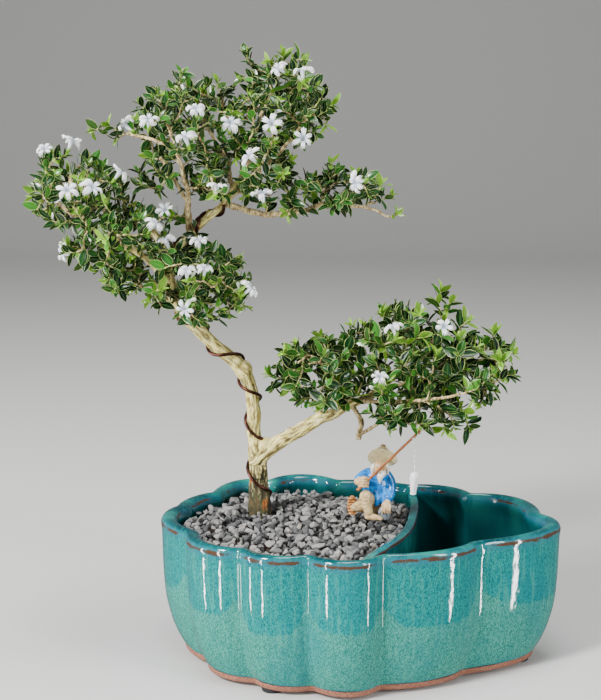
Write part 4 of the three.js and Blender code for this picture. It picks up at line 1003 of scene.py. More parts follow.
# Routes of the wood as points (x, y, z, radius)
TRUNK_ROUTE = [
    (-70, 38, 76, 9.5), (-70, 38, 92, 8.4), (-71, 38, 107, 7), (-71, 37, 122, 6.6),
    (-72, 36, 136, 6.8), (-74, 35, 147, 5), (-74, 33, 162, 4.8), (-75, 31, 176, 4.8),
    (-77, 30, 186, 4.8), (-82, 29, 196, 5.4), (-89, 28, 205, 5), (-100, 26, 214, 4.6),
    (-109, 25, 223, 4.5), (-119, 22, 234, 4.3), (-127, 20, 245, 4), (-132, 20, 256, 3.9),
]
LEADER_ROUTE = [
    (-132, 20, 256, 3.7), (-132, 22, 272, 3.4), (-125, 26, 287, 3.1), (-117, 28, 296, 2.9),
    (-104, 30, 308, 2.8), (-93, 30, 317, 2.7), (-84, 28, 332, 2.5),
]
LOW_BRANCH_ROUTE = [
    (-72, 36, 128, 5.6), (-57, 31, 142, 5.4), (-46, 26, 149.5, 5), (-35, 22, 157, 4.7),
    (-26, 20, 163, 4.3), (-18, 18, 166, 3.8), (-5, 14, 174, 3.1), (15, 10, 184, 2.4),
]
LEFT_LIMB_ROUTE = [(-132, 20, 256, 3.2), (-143, 14, 275, 2.8), (-157, 6, 287, 2.4), (-170, 0, 295, 2.1)]
LEFT_BACK_LIMB_ROUTE = [(-131, 21, 270, 3), (-145, 34, 296, 2.4), (-163, 44, 302, 2)]
WOOD = [TRUNK_ROUTE, LEADER_ROUTE, LOW_BRANCH_ROUTE, LEFT_LIMB_ROUTE, LEFT_BACK_LIMB_ROUTE]
# Healed cuts and swellings on the wood: place and radius
KNOTS = [((-80, 27, 197), 5.6), ((-86, 25, 203), 3.6), ((-66, 33, 139), 5.6), ((-76, 33, 150), 3.6),
         ((-48, 25, 151), 3.4), ((-26, 18, 166), 3.2), ((-131, 18, 256), 4.4), ((-104, 28, 309), 3.3)]
KNOT_FORM = (1, 0.9, 1.25)  # half-sizes along x, y and z, as shares of a knot's radius
WOOD_GRAIN, WOOD_SMOOTHING = 0.75, 5
WOOD_SIDES, SPINE_POINTS = 20, 120
# Bark: long ridges, a few round the wood, and flakes of a width and length on top of them
RIDGES_ROUND, RIDGE_LENGTH, RIDGE_RELIEF = 2.2, 17, 0.66
FLAKE_WIDTH, FLAKE_LENGTH, FLAKE_RELIEF = 2.4, 7, 0.45
RIDGE_SCALE, RIDGE_ROUGHNESS, RIDGE_STEP, RIDGE_LAYERS = 1.6, 0.6, 2.1, 4
# The relief is as drawn on wood of this radius, and gentler on thinner wood, within limits
FULL_RELIEF_RADIUS, LEAST_RELIEF, MOST_RELIEF = 6, 0.35, 1.15
CRACK_DEPTH = 1.3  # how fast hollows count as cracks
# Heights, and the wood's rough radius at each
WOOD_HEIGHTS, WOOD_RADII = (80, 130, 200, 260, 330), (8.5, 6.8, 5, 3.8, 2.6)


def bark_relief(along, around, radius):
    """Bark relief in millimetres at a place along the wood and at an angle round it."""
    across, front = math.cos(around), math.sin(around)
    spot = Vector((across * RIDGES_ROUND, front * RIDGES_ROUND, along / RIDGE_LENGTH))
    ridges = noise.fractal(spot * RIDGE_SCALE, RIDGE_ROUGHNESS, RIDGE_STEP, RIDGE_LAYERS)
    flakes = noise.noise((across * radius / FLAKE_WIDTH, front * radius / FLAKE_WIDTH, along / FLAKE_LENGTH))
    return RIDGE_RELIEF * ridges + FLAKE_RELIEF * flakes


def wood_spine():
    """Points down the middle of all the wood, each with its side, front, length so far and radius,
    and a tree that finds the nearest one."""
    spine = []
    for route in WOOD:
        line = along_route(route, np.linspace(0, 1, SPINE_POINTS))
        _, side, front = frames_along(line[:, :3])
        spine += list(zip(line[:, :3], side, front, distances_along(line[:, :3]), line[:, 3]))
    tree = kdtree.KDTree(len(spine))
    for i, (point, *_) in enumerate(spine):
        tree.insert(point, i)
    tree.balance()
    return spine, tree


def carve_bark(trunk):
    """Moves the trunk's corners in and out for the bark, and stores its cracks and its grain."""
    corners = corners_of(trunk)
    spine, tree = wood_spine()
    relief = np.empty(len(corners))
    ways = np.empty((len(corners), 3))
    grain = np.empty((len(corners), 3))
    for n, corner in enumerate(corners):
        _, i, _ = tree.find(corner)
        point, side, front, along, radius = spine[i]
        out = corner - point
        relief[n] = bark_relief(along, math.atan2(out.dot(front), out.dot(side)), radius)
        ways[n] = out / max(np.linalg.norm(out), 1e-6)
        grain[n] = ways[n].dot(side) * radius, ways[n].dot(front) * radius, along
    rough_radius = np.interp(corners[:, 2], WOOD_HEIGHTS, WOOD_RADII)
    depth = np.clip(rough_radius / FULL_RELIEF_RADIUS, LEAST_RELIEF, MOST_RELIEF)
    set_corners(trunk, corners + ways * (relief * depth)[:, None])
    set_values(trunk, "crack", np.clip(0.5 - relief * CRACK_DEPTH, 0, 1))
    stored = trunk.data.attributes.new("grain", "FLOAT_VECTOR", "POINT")
    stored.data.foreach_set("vector", (grain * MM).ravel())


def make_trunk():
    """Trunk, leader and limbs fused into one, with ridged bark."""
    shape = Shape()
    for route in WOOD:
        dense = along_route(route, np.linspace(0, 1, len(route) * 8))
        shape.add(*tube(dense[:, :3], dense[:, 3], WOOD_SIDES))
    for middle, radius in KNOTS:
        shape.add(*ball(middle, np.multiply(KNOT_FORM, radius)))
    trunk = melted(shape.build("trunk_and_limbs", [BARK]), WOOD_GRAIN, WOOD_SMOOTHING)
    carve_bark(trunk)
    return finish_piece(trunk, "bark", "trunk")


make_trunk()

# ---------------------------------------------------------------- wire

WIRE_RADIUS, WIRE_GAP = 1.15, 0.3
WIRE_FOOT = (-70, 38, 52, 5)  # the winding's line goes on below the trunk: place and radius
WIRE_FRONTS = [74, 111, 150, 182, 210, 233, 257, 276, 297, 316]  # heights where it crosses in front
WIRE_FIRST_TURN = 0.5
WIRE_STEPS, WIRE_SIDES = 24, 12  # points a turn, and corners round it
WOUND_STEPS, TINY_STEP = 1200, 1e-4  # fine steps along the wound wood
# The second strand: the turn it starts from, how many turns it stops short, and how far ahead it runs
SECOND_STRAND_FROM, SECOND_STRAND_SHORT, SECOND_STRAND_AHEAD = 6.0, 0.3, 0.12


def wire_line(first, last, ahead):
    """The wire's middle line from one turn to another, moved ahead along the wood by some turns."""
    wound = [WIRE_FOOT] + TRUNK_ROUTE + LEADER_ROUTE[1:]
    shares = np.linspace(0, 1, WOUND_STEPS)
    dense = along_route(wound, shares)
    radius = np.interp(shares * (len(wound) - 1), np.arange(len(wound)), [p[3] for p in wound])
    fronts = [shares[np.argmax(dense[:, 2] >= height)] for height in WIRE_FRONTS]
    turns = np.arange(first * WIRE_STEPS, last * WIRE_STEPS + 1) / WIRE_STEPS
    at = np.interp(turns + ahead, np.arange(len(fronts)), fronts)
    middle = along_route(wound, at)[:, :3]
    way = unit(along_route(wound, at + TINY_STEP)[:, :3] - along_route(wound, at - TINY_STEP)[:, :3])
    side = unit(np.cross((0, -1, 0), way))
    front = np.cross(way, side)
    away = np.interp(at, shares, radius) + WIRE_RADIUS + WIRE_GAP
    angle = 2 * math.pi * turns
    return middle + (front * np.cos(angle)[:, None] + side * np.sin(angle)[:, None]) * away[:, None]


def make_wire():
    """One strand from the foot to the top of the leader, and a second one beside it higher up."""
    shape = Shape()
    last = len(WIRE_FRONTS) - 1
    first_strand = wire_line(WIRE_FIRST_TURN, last, 0)
    second_strand = wire_line(SECOND_STRAND_FROM, last - SECOND_STRAND_SHORT, SECOND_STRAND_AHEAD)
    for line in (first_strand, second_strand):
        shape.add(*tube(line, WIRE_RADIUS, WIRE_SIDES))
    return finish_piece(shape.build("wound_wire", [WIRE]), "wire", "training_wire")


make_wire()

# ---------------------------------------------------------------- crown

SPRAY_STEMS = {
    "left_front": [(-168, 1, 294), (-186, -4, 304), (-204, -4, 318), (-218, 0, 328)],
    "left_back": [(-161, 43, 301.5), (-185, 50, 312), (-205, 44, 328)],
    "left_low_front": [(-119, 22, 234), (-121, 6, 251), (-109, -8, 264), (-93, -20, 270)],
    "left_low_back": [(-127, 20, 245), (-148, 34, 254), (-167, 40, 261)],
    "upright": [(-118, 28, 295), (-119, 18, 311), (-118, 8, 327), (-120, 0, 337), (-124, -4, 355),
                (-131, -2, 375)],
    "crown": [(-85, 28, 330), (-75, 24, 349), (-71, 20, 368), (-62, 18, 389), (-54, 18, 408)],
    "crown_right": [(-90, 29.5, 321), (-70, 14, 338), (-52, 4, 356), (-38, -6, 374)],
    "crown_back": [(-88, 29, 326), (-94, 50, 348), (-107, 58, 368), (-113, 54, 388)],
    "side": [(-93, 30, 316), (-67, 22, 310), (-40, 16, 312), (-25, 14, 317), (-9, 14, 316),
             (6, 16, 315), (19, 18, 309)],
    "right_end": [(14, 10, 183.5), (37, 8, 192), (62, 8, 199), (87, 10, 208)],
    "right_inner": [(-16, 17, 168), (-14, 0, 188), (-23, -14, 207), (-33, -20, 216)],
    "right_back": [(10, 11, 181.5), (30, 30, 196), (46, 40, 214), (60, 40, 230)],
    "right_front": [(0, 13, 177), (26, -16, 183), (48, -32, 188), (68, -36, 193)],
}
STEM_RADII = {"upright": 2.7, "side": 2.3}  # of the thicker stems where they start
STEM_START, STEM_END = 1.8, 0.8
# Short side stems: the spray each belongs to, its radius and its route. The first ends in an old
# cut
SIDE_STEMS = [
    ("right_front", 1.9, [(-3, 12, 174), (3, 4, 165), (0.7, -3, 153)]),
    ("right_front", 1.3, [(1.5, -1, 156), (10, -4, 162), (18, -5, 167)]),
    ("upright", 1.3, [(-118.5, 13, 319), (-128, 8, 336), (-136, 4, 350)]),
    ("upright", 1.2, [(-124, -4, 355), (-140, 2, 362), (-158, 8, 366)]),
    ("left_front", 1.3, [(-186, -4, 304), (-196, 8, 318), (-200, 16, 336)]),
    ("crown", 1.4, [(-75, 24, 349), (-86, 18, 366), (-92, 12, 384)]),
    ("right_end", 1.3, [(37, 8, 192), (44, 4, 206), (52, 2, 222)]),
]

# Pads of foliage: middle and half-sizes of the space that each fills
PADS = [
    ((-197, 20, 325), (36, 46, 27)), ((-159, 20, 292), (38, 52, 28)),
    ((-111, 15, 262), (37, 52, 28)), ((-170, 30, 263), (19, 34, 12)),
    ((-117, 20, 375), (38, 52, 32)), ((-54, 15, 383), (38, 52, 33)), ((-82, 20, 341), (40, 50, 22)),
    ((-13, 16, 328), (40, 34, 15)), ((-25, 5, 201), (34, 46, 25)), ((34, 10, 213), (44, 55, 30)),
    ((81, 10, 206), (30, 45, 27)), ((50, -10, 174), (36, 34, 11)), ((22, -16, 182), (44, 26, 10)),
    ((-18, 4, 180), (24, 30, 9)), ((-135, 12, 338), (20, 30, 16)), ((-40, 10, 318), (26, 26, 8)),
    ((-192, 8, 292), (16, 26, 14)),
]
# Outermost shoots, which set the outline of the crown
SHOOTS = [
    (-226, 12, 322), (-216, 8, 310), (-203, 8, 290), (-190, 6, 276), (-213, 14, 352),
    (-202, 30, 340), (-197, 16, 282), (-178, 22, 261), (-146, 12, 250), (-105, 2, 240),
    (-79, 6, 246), (-180, 26, 328), (-160, 30, 254), (-184, 12, 366), (-173, 10, 372),
    (-166, 6, 361), (-155, 22, 374), (-134, 12, 391), (-121, 20, 407), (-97, 8, 402),
    (-78, 20, 421), (-62, 12, 414), (-52, 14, 420), (-36, 14, 416), (-30, 22, 403), (-17, 8, 386),
    (-22, 24, 370), (-18, 12, 347), (0, 20, 339), (16, 10, 332), (28, 16, 310), (24, 22, 322),
    (-64, 6, 198), (-59, 8, 189), (-49, 14, 211), (-26, 4, 227), (-4, 20, 231), (16, 8, 241),
    (43, 16, 239), (57, 26, 247), (62, 30, 255), (68, 25, 248), (79, 12, 236), (97, 20, 226),
    (111, 10, 212), (99, 4, 198), (86, -4, 177), (80, 8, 159), (60, -14, 162), (38, -8, 167),
    (20, -6, 168), (22, -9, 161), (-38, -4, 182),
]
# More tips fill the pads, each the one with the most room of a few that are tried
FILL_TIPS, FILL_TRIES = 600, 9
PAD_SHARE_POWER = 0.8  # a larger pad gets more tips, by its volume to this power
PAD_CORE = 0.35  # share of a pad's reach that is left without tips
CROWN_SEED, BLOOM_SEED = 4711, 4716

FLOWER_TUBE, FLOWER_REACH, THROAT = 9.0, 6.6, 2.1
BLOOM_FORWARD, BLOOM_UP, BLOOM_STRAY = 0.7, 0.6, 0.42  # how each flower's own way is made up
BLOOM_NODES = sorted(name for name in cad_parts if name.startswith("bloom_"))


def bloom_place(node):
    """Base and way of a CAD bloom, from its own corners: its base is the one furthest from all."""
    corners = laid_out([v.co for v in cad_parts[node].data.vertices])
    corners = np.unique(np.round(corners, 2), axis=0)
    apart = np.linalg.norm(corners[:, None] - corners[None], axis=2).sum(axis=1)
    base = corners[np.argmax(apart)]
    return base, unit(corners.mean(axis=0) - base)


def turned_up_blooms():
    """Base and way of each flower, turned up towards the light about the middle of its head."""
    rng = np.random.default_rng(BLOOM_SEED)
    turned = []
    for base, way in map(bloom_place, BLOOM_NODES):
        up = unit(way * BLOOM_FORWARD + (0, 0, BLOOM_UP) + rng.normal(scale=BLOOM_STRAY, size=3))
        turned.append((base + (way - up) * FLOWER_TUBE, up))
    return turned


BLOOMS = turned_up_blooms()


def fill_tips(rng, tips):
    """Tips in the emptiest places of the pads, each the best of a few drawn at random."""
    tips = list(tips)
    weights = np.array([half[0] * half[1] * half[2] for _, half in PADS], float) ** PAD_SHARE_POWER
    for _ in range(FILL_TIPS):
        pads = rng.choice(len(PADS), size=FILL_TRIES, p=weights / weights.sum())
        ways = unit(rng.normal(size=(FILL_TRIES, 3)))
        reach = PAD_CORE + (1 - PAD_CORE) * np.sqrt(rng.uniform(size=(FILL_TRIES, 1)))
        spots = np.array([PADS[p][0] for p in pads]) + ways * reach * np.array([PADS[p][1] for p in pads])
        room = np.linalg.norm(spots[:, None] - np.array(tips)[None], axis=2).min(axis=1)
        tips.append(spots[np.argmax(room)])
    return np.array(tips)


STARTS_A_STRETCH = 4  # places for twigs between two points of a stem's route
SHORTEST_TWIG, TOO_DEAR = 5, 1e9
TURNING_COST = 1.9  # a twig straight on costs 0.9 of its length, and one straight back 2.9
TWIG_POINTS, LATER_STARTS = 9, (3, 5, 7)  # points of a twig, and those where others may start
# As shares of a twig's length: where it bends, how far it sags, strays and crooks
TWIG_BEND, TWIG_SAG, TWIG_STRAY, TWIG_CROOK = 0.35, 0.06, 0.05, 0.018
BLOOM_FOOT = 0.9  # a flower's twig ends this far below its base


def stem_places():
    """Places on the stems where twigs may start: each spray's name, the point, and the way on."""
    names, points, ways = [], [], []
    side_routes = [(name, route) for name, _, route in SIDE_STEMS]
    for name, route in [*SPRAY_STEMS.items(), *side_routes]:
        count = (len(route) - 1) * STARTS_A_STRETCH
        shares = np.arange(1, count + 1) / count
        stem = along_route(route, shares)
        names += [name] * count
        points += list(stem)
        ways += list(unit(stem - along_route(route, shares - 0.01)))
    return names, points, ways


def twig_line(rng, start, way, tip, size):
    """A crooked line from a stem to a tip, which sets off the stem's way and sags a little."""
    stray = rng.normal(scale=TWIG_STRAY * size, size=3)
    bend = start + way * size * TWIG_BEND + (0, 0, -TWIG_SAG * size) + stray
    shares = np.linspace(0, 1, TWIG_POINTS)[:, None]
    line = (1 - shares) ** 2 * start + 2 * shares * (1 - shares) * bend + shares**2 * tip
    line[1:-1] += rng.normal(scale=TWIG_CROOK * size, size=(TWIG_POINTS - 2, 3))
    return line


def grow_twigs(rng):
    """Twigs from the stems to every tip. Each starts where length and turning cost least, and new
    twigs may start on those that are already there."""
    names, points, ways = stem_places()
    bases = [base - way * BLOOM_FOOT for base, way in BLOOMS]
    fixed = [np.array(p, float) for p in SHOOTS] + bases
    tips = fill_tips(rng, fixed)
    kinds = ["shoot"] * len(SHOOTS) + ["bloom"] * len(bases) + ["fill"] * FILL_TIPS
    reach = np.linalg.norm(tips[:, None] - np.array(points)[None], axis=2).min(axis=1)
    twigs = []
    for i in np.argsort(reach):
        ahead = tips[i] - np.array(points)
        length = np.linalg.norm(ahead, axis=1)
        turn = np.einsum("ij,ij->i", ahead, np.array(ways)) / length
        best = int(np.argmin(np.where(length > SHORTEST_TWIG, length * (TURNING_COST - turn), TOO_DEAR)))
        line = twig_line(rng, points[best], ways[best], tips[i], length[best])
        twigs.append({"spray": names[best], "line": line, "length": length[best], "kind": kinds[i]})
        for k in LATER_STARTS:
            names.append(names[best])
            points.append(line[k])
            ways.append(unit(line[k + 1] - line[k - 1]))
    return twigs


# Pairs of leaves from a twig's tip back: how far from the tip each stands, and its leaves' size
LEAF_PLACES = np.array([0.3, 1.4, 3.2, 6.0, 9.5, 13.5, 18, 23, 29])
LEAF_SIZES = (0.45, 0.75, 0.95, 1.0, 1.0, 0.95, 0.9, 0.85, 0.8)
TUFT_PAIRS = 3  # pairs at the tip that have lost no leaf
LOST_LEAVES = 0.18  # share of the others that is missing
FRESH_SHOOTS, FRESH_TWIGS = 0.9, 0.22  # shares of them that carry bright young leaves
FRESH_YOUTH, USUAL_YOUTH = 1.0, 0.35  # of the pair at the tip
YOUTH_LOST = 0.3  # from each pair to the next
BARE_FOOT, BARE_SHARE = 3, 0.2  # a twig's foot without leaves: at most, and as a share of the twig
LEAF_LENGTH, LEAF_WIDTH = 10.4, 5.4
LEAF_UNEVENNESS = (0.65, 1.2)  # the smallest and the largest, as shares of their usual size
PAIR_ASKEW = 0.25  # radians either way from a quarter turn
# Leaves grow larger on the low branch, and largest in the shade that lies under its end
LOW_BRANCH_LEAVES, SHADED_LEAVES = 1.17, 1.45
SHADE_BELOW, SHADE_BEYOND = 172, 40  # that shade, in height and along x


def leaf_places(twig):
    """How far along a twig its pairs of leaves stand, and how far along it each of its points is."""
    gaps = distances_along(twig["line"])
    places = gaps[-1] - LEAF_PLACES
    if twig["kind"] == "bloom":
        places = places[1:]
    return places[places > min(BARE_FOOT, BARE_SHARE * twig["length"])], gaps


def leaf_growth(twig):
    """How large leaves grow on a twig, as a share of a leaf's usual size."""
    tip = twig["line"][-1]
    if twig["kind"] == "shoot" and tip[2] < SHADE_BELOW and tip[0] > SHADE_BEYOND:
        return SHADED_LEAVES
    return LOW_BRANCH_LEAVES if twig["spray"].startswith("right") else 1.0


# The angle between a leaf and its twig in radians: at the tip, more for each pair up to a last one,
# and how uneven it is
TIP_SPREAD, MORE_SPREAD, LAST_SPREAD_PAIR, SPREAD_ASKEW = 0.55, 0.2, 3, (-0.15, 0.25)
AIM_UP, AIM_STRAY = 0.25, 0.22  # how far leaves point up, and stray
FACE_UP, FACE_STRAY = 0.55, 0.3  # how far their upper sides do


def leaf_directions(rng, way, out, pair):
    """The way a leaf points and the way its upper side faces: steeper near the tip, and both
    turned up to the light."""
    spread = TIP_SPREAD + MORE_SPREAD * min(pair, LAST_SPREAD_PAIR) + rng.uniform(*SPREAD_ASKEW)
    aim = way * math.cos(spread) + out * math.sin(spread)
    aim = unit(aim + np.array([0, 0, AIM_UP]) + rng.normal(scale=AIM_STRAY, size=3))
    upper = way * math.sin(spread) - out * math.cos(spread)
    upper = upper + np.array([0, 0, FACE_UP]) + rng.normal(scale=FACE_STRAY, size=3)
    return aim, unit(upper - aim * upper.dot(aim))


def leaves_on(rng, twig):
    """A twig's leaves: opposite pairs, each turned a quarter from the last, and a crowded tuft at
    the tip. Gives rows of origin, way, upper side, size, youth and tone."""
    line = twig["line"]
    way, side, front = frames_along(line)
    places, gaps = leaf_places(twig)
    growth = leaf_growth(twig)
    rows = []
    turn = rng.uniform(0, math.pi)
    fresh = rng.uniform() < (FRESH_SHOOTS if twig["kind"] == "shoot" else FRESH_TWIGS)
    for pair, place in enumerate(places):
        turn += math.pi / 2 + rng.uniform(-PAIR_ASKEW, PAIR_ASKEW)
        point = np.array([np.interp(place, gaps, line[:, k]) for k in range(3)])
        at = int(np.clip(np.searchsorted(gaps, place), 1, len(line) - 1))
        youth = max(0.0, (FRESH_YOUTH if fresh else USUAL_YOUTH) - YOUTH_LOST * pair)
        for around in (turn, turn + math.pi):
            if pair >= TUFT_PAIRS and rng.uniform() < LOST_LEAVES:
                continue
            out = side[at] * math.cos(around) + front[at] * math.sin(around)
            aim, upper = leaf_directions(rng, way[at], out, pair)
            size = LEAF_SIZES[pair] * growth * rng.uniform(*LEAF_UNEVENNESS)
            rows.append((point, aim, upper, size, youth, rng.uniform()))
    return rows


LEAF_STATIONS = np.array([0, 0.14, 0.36, 0.6, 0.83, 1.0])  # from the stalk to the tip
LEAF_COLUMNS = np.array([-1, -0.7, 0, 0.7, 1])  # from edge to edge
LEAF_MARGIN = (1.0, 0, -1, 0, 1)  # what each column says of the cream margin and the rib
YOUNG_NARROWNESS = 0.38  # how much narrower the youngest leaves are
LEAST_FOLD, MORE_FOLD, LEAST_CURL, MORE_CURL = 0.08, 0.42, -0.2, 0.9


def leaf_blades(rows):
    """Corners, faces and values of leaves folded along their ribs and curled down at their tips."""
    origin, aim, upper, full, youth, tone = (np.array(column) for column in zip(*rows))
    across = np.cross(upper, aim)
    x = LEAF_STATIONS
    half_width = np.maximum(np.sin(math.pi * x**0.98), 0) ** 0.8 + 0.03
    length = LEAF_LENGTH * full
    width = LEAF_WIDTH * full * (1 - YOUNG_NARROWNESS * youth)
    # fold and curl differ from leaf to leaf, by digits of its tone
    fold = LEAST_FOLD + MORE_FOLD * ((tone * 5.7) % 1)
    curl = LEAST_CURL + MORE_CURL * ((tone * 7.3) % 1)
    sideways = LEAF_COLUMNS[None, None, :] * half_width[None, :, None] * width[:, None, None] / 2
    drop = (x**2)[None, :, None] * (curl * length)[:, None, None] * 0.5
    lift = np.abs(sideways) * fold[:, None, None] - drop
    forward = np.broadcast_to(x[None, :, None] * length[:, None, None], lift.shape)
    corners = (origin[:, None, None] + aim[:, None, None] * forward[..., None]
               + across[:, None, None] * sideways[..., None] + upper[:, None, None] * lift[..., None])
    each = len(x) * len(LEAF_COLUMNS)
    pattern = grid_faces(len(x), len(LEAF_COLUMNS))
    faces = [tuple(i + n * each for i in face) for n in range(len(rows)) for face in pattern]
    return corners.reshape(-1, 3), faces, {
        "margin": np.tile(LEAF_MARGIN, len(x) * len(rows)),
        "tone": np.repeat(tone, each),
        "young": np.repeat(youth, each),
    }


STEM_STEP, STEM_SIDES = 0.9, 10
NODE_SPACING, NODE_SWELLING = 2.6, 0.32  # where old leaves stood, and how much wider it is there
CROOK_LENGTH, CROOK_REACH = 9, 0.9
# Three places in one fixed noise, far apart, that bend a stem along x, y and z
CROOK_PLACES = [Vector((3.1, 17.4, 5.2)), Vector((21.8, 1.9, 8.3)), Vector((6.6, 13.2, 32.7))]


def add_stem(shape, route, start, end):
    """A crooked stem from one radius to another, swollen every few millimetres where old leaves
    stood."""
    count = max(8, int(steps_along(route).sum() / STEM_STEP))
    line = along_route(route, np.linspace(0, 1, count))
    uneven = np.array([noise.noise(Vector(p) / NODE_SPACING) for p in line])
    sideways = np.array([
        [noise.noise(Vector(p) / CROOK_LENGTH + place) for place in CROOK_PLACES] for p in line
    ])
    line[1:-1] += sideways[1:-1] * CROOK_REACH
    shape.add(*tube(line, np.linspace(start, end, count) * (1 + NODE_SWELLING * uneven), STEM_SIDES), WOODY)


TWIG_RINGS, TWIG_SIDES = 13, 5
LONG_TWIG, LONG_TWIG_RADIUS, TWIG_RADIUS, TWIG_TIP_RADIUS = 30, 1.05, 0.8, 0.45
GREEN_FROM, GREENEST = -1.2, 0.8  # twigs turn green past their middle
WOODY, LEAFY = 0, 1  # the sprays' materials


def add_twig(shape, twig):
    """A thin twig, green towards its tip."""
    start = LONG_TWIG_RADIUS if twig["length"] > LONG_TWIG else TWIG_RADIUS
    line = along_route(twig["line"], np.linspace(0, 1, TWIG_RINGS))
    green = np.clip(np.linspace(GREEN_FROM, 1, TWIG_RINGS), 0, 1) * GREENEST
    shape.add(*tube(line, np.linspace(start, TWIG_TIP_RADIUS, TWIG_RINGS), TWIG_SIDES), WOODY,
              young=np.repeat(green, TWIG_SIDES))


def make_sprays():
    """Each spray's stems, twigs and leaves as one piece."""
    rng = np.random.default_rng(CROWN_SEED)
    twigs = grow_twigs(rng)
    for name, route in SPRAY_STEMS.items():
        shape = Shape(["margin", "tone", "young"])
        add_stem(shape, route, STEM_RADII.get(name, STEM_START), STEM_END)
        for _, radius, side_route in (stem for stem in SIDE_STEMS if stem[0] == name):
            add_stem(shape, side_route, radius, radius)
        rows = []
        for twig in (twig for twig in twigs if twig["spray"] == name):
            add_twig(shape, twig)
            rows += leaves_on(rng, twig)
        corners, faces, values = leaf_blades(rows)
        shape.add(corners, faces, LEAFY, **values)
        finish_piece(shape.build(f"foliage_{name}", [TWIG, LEAF]), "leaf", f"spray_{name}")


make_sprays()

# ---------------------------------------------------------------- flowers

FLOWER_SEED = 4717
PETALS, LEAVES = 0, 1  # the flowers' materials
ASLANT = (0.13, 0.31, 0.94)  # a direction that no flower points in
LOBE_COLUMNS, TUBE_RINGS, LOBE_RINGS = 13, 7, 8
TUBE_FOOT, TUBE_WAIST = 0.75, 1.0  # the tube's radius at its foot, and higher up before it opens
FEWEST_LOBES, MOST_LOBES = 5, 6
# Each lobe's teeth and frill, how far it narrows, and the limits of its reach and its bend back
LOBE_TEETH, LOBE_FRILL, LOBE_NARROWING, LOBE_ARCH = 0.22, 0.95, 0.5, 1.7
LOBE_REACHES, LOBE_BENDS = (0.85, 1.1), (1.2, 5.6)
# The cup under a flower, from its stalk up: way forward, radius and how long its five teeth are
CALYX = ((-1.6, 0.45, 0), (-0.4, 0.9, 0), (0.8, 1.15, 0), (2.0, 1.35, 1.3))
CALYX_SIDES = 20
BUD_PROFILE = [(0.6, 0), (0.8, 2.2), (1.1, 4.5), (1.75, 6.4), (1.9, 7.6), (1.2, 8.9), (0.1, 9.5)]
BUD_RINGS, BUD_SIDES, BUD_SIZES, BUD_CHANCE = 16, 10, (0.55, 0.8), 0.45
BUD_STRAY, BUD_UP = 0.55, 0.3  # how far a bud turns from its flower's way, and up
BUD_AWAY, BUD_STALK, BUD_STALK_RADIUS, BUD_STALK_SIDES = 2.4, 1.5, 0.4, 6
FLOWER_SIZES = (0.86, 1.08)


def flower_ring(base, way, angle, radius, forward, size):
    """A ring of corners round a flower's own line, at angles, radii and distances along it."""
    side = unit(np.cross(way, ASLANT))
    ring = np.outer(np.cos(angle) * radius, side) + np.outer(np.sin(angle) * radius, np.cross(way, side))
    return (ring + np.outer(forward, way)) * size + base


def add_flower(shape, base, way, rng, size):
    """A narrow funnel that opens into five or six frilled lobes, cut apart down to the throat,
    which bend back at their tips."""
    lobes = int(rng.integers(FEWEST_LOBES, MOST_LOBES + 1))
    across = np.tile(np.linspace(-1, 1, LOBE_COLUMNS), lobes)
    middle = np.repeat(np.arange(lobes) + rng.uniform(), LOBE_COLUMNS) * 2 * math.pi / lobes
    outline = np.sqrt(np.maximum(1 - across**4, 0)) * (1 + LOBE_TEETH * np.cos(across * math.pi * 3))
    reach = np.repeat(rng.uniform(*LOBE_REACHES, lobes), LOBE_COLUMNS) * FLOWER_REACH
    bend = np.repeat(rng.uniform(*LOBE_BENDS, lobes), LOBE_COLUMNS)
    frill = np.sin(across * math.pi * 3 + np.repeat(rng.uniform(0, 6, lobes), LOBE_COLUMNS))
    steps = [(up, 0.0) for up in np.linspace(0, 1, TUBE_RINGS)]
    steps += [(1.0, out) for out in np.linspace(0, 1, LOBE_RINGS + 1)[1:]]
    corners, throat = [], []
    for up, out in steps:
        radius = TUBE_FOOT + (TUBE_WAIST - TUBE_FOOT) * up + (THROAT - TUBE_WAIST) * up**2
        radius = radius + (reach - THROAT) * outline * math.sin(out * math.pi / 2)
        arch = LOBE_ARCH * math.sin(out * math.pi * 0.55) - bend * out**2.2
        forward = FLOWER_TUBE * up + outline * arch
        forward = forward + LOBE_FRILL * out**1.3 * frill * outline
        angle = middle + across * math.pi / lobes * (1 - LOBE_NARROWING * out)
        corners.append(flower_ring(base, way, angle, radius, forward, size))
        # how deep in the flower each corner lies; the petal's colour is darkest where the tube opens, as
        # painted shade
        throat.append(np.full(len(across), 1 - 0.5 * up - 0.5 * min(1, out * 1.6)))
    faces = grid_faces(len(steps), len(across), closed=True)
    shape.add(np.concatenate(corners), faces, PETALS, throat=np.concatenate(throat))
    add_calyx(shape, base, way, size)


def add_calyx(shape, base, way, size):
    """The green cup under a flower, and the stalk down into its leaves."""
    angle = np.arange(CALYX_SIDES) * 2 * math.pi / CALYX_SIDES
    corners = [flower_ring(base, way, angle, radius, forward + tooth * np.cos(angle * 5), size)
               for forward, radius, tooth in CALYX]
    faces = grid_faces(len(CALYX), CALYX_SIDES, closed=True)
    shape.add(np.concatenate(corners), faces, LEAVES, young=0.75, tone=0.7)


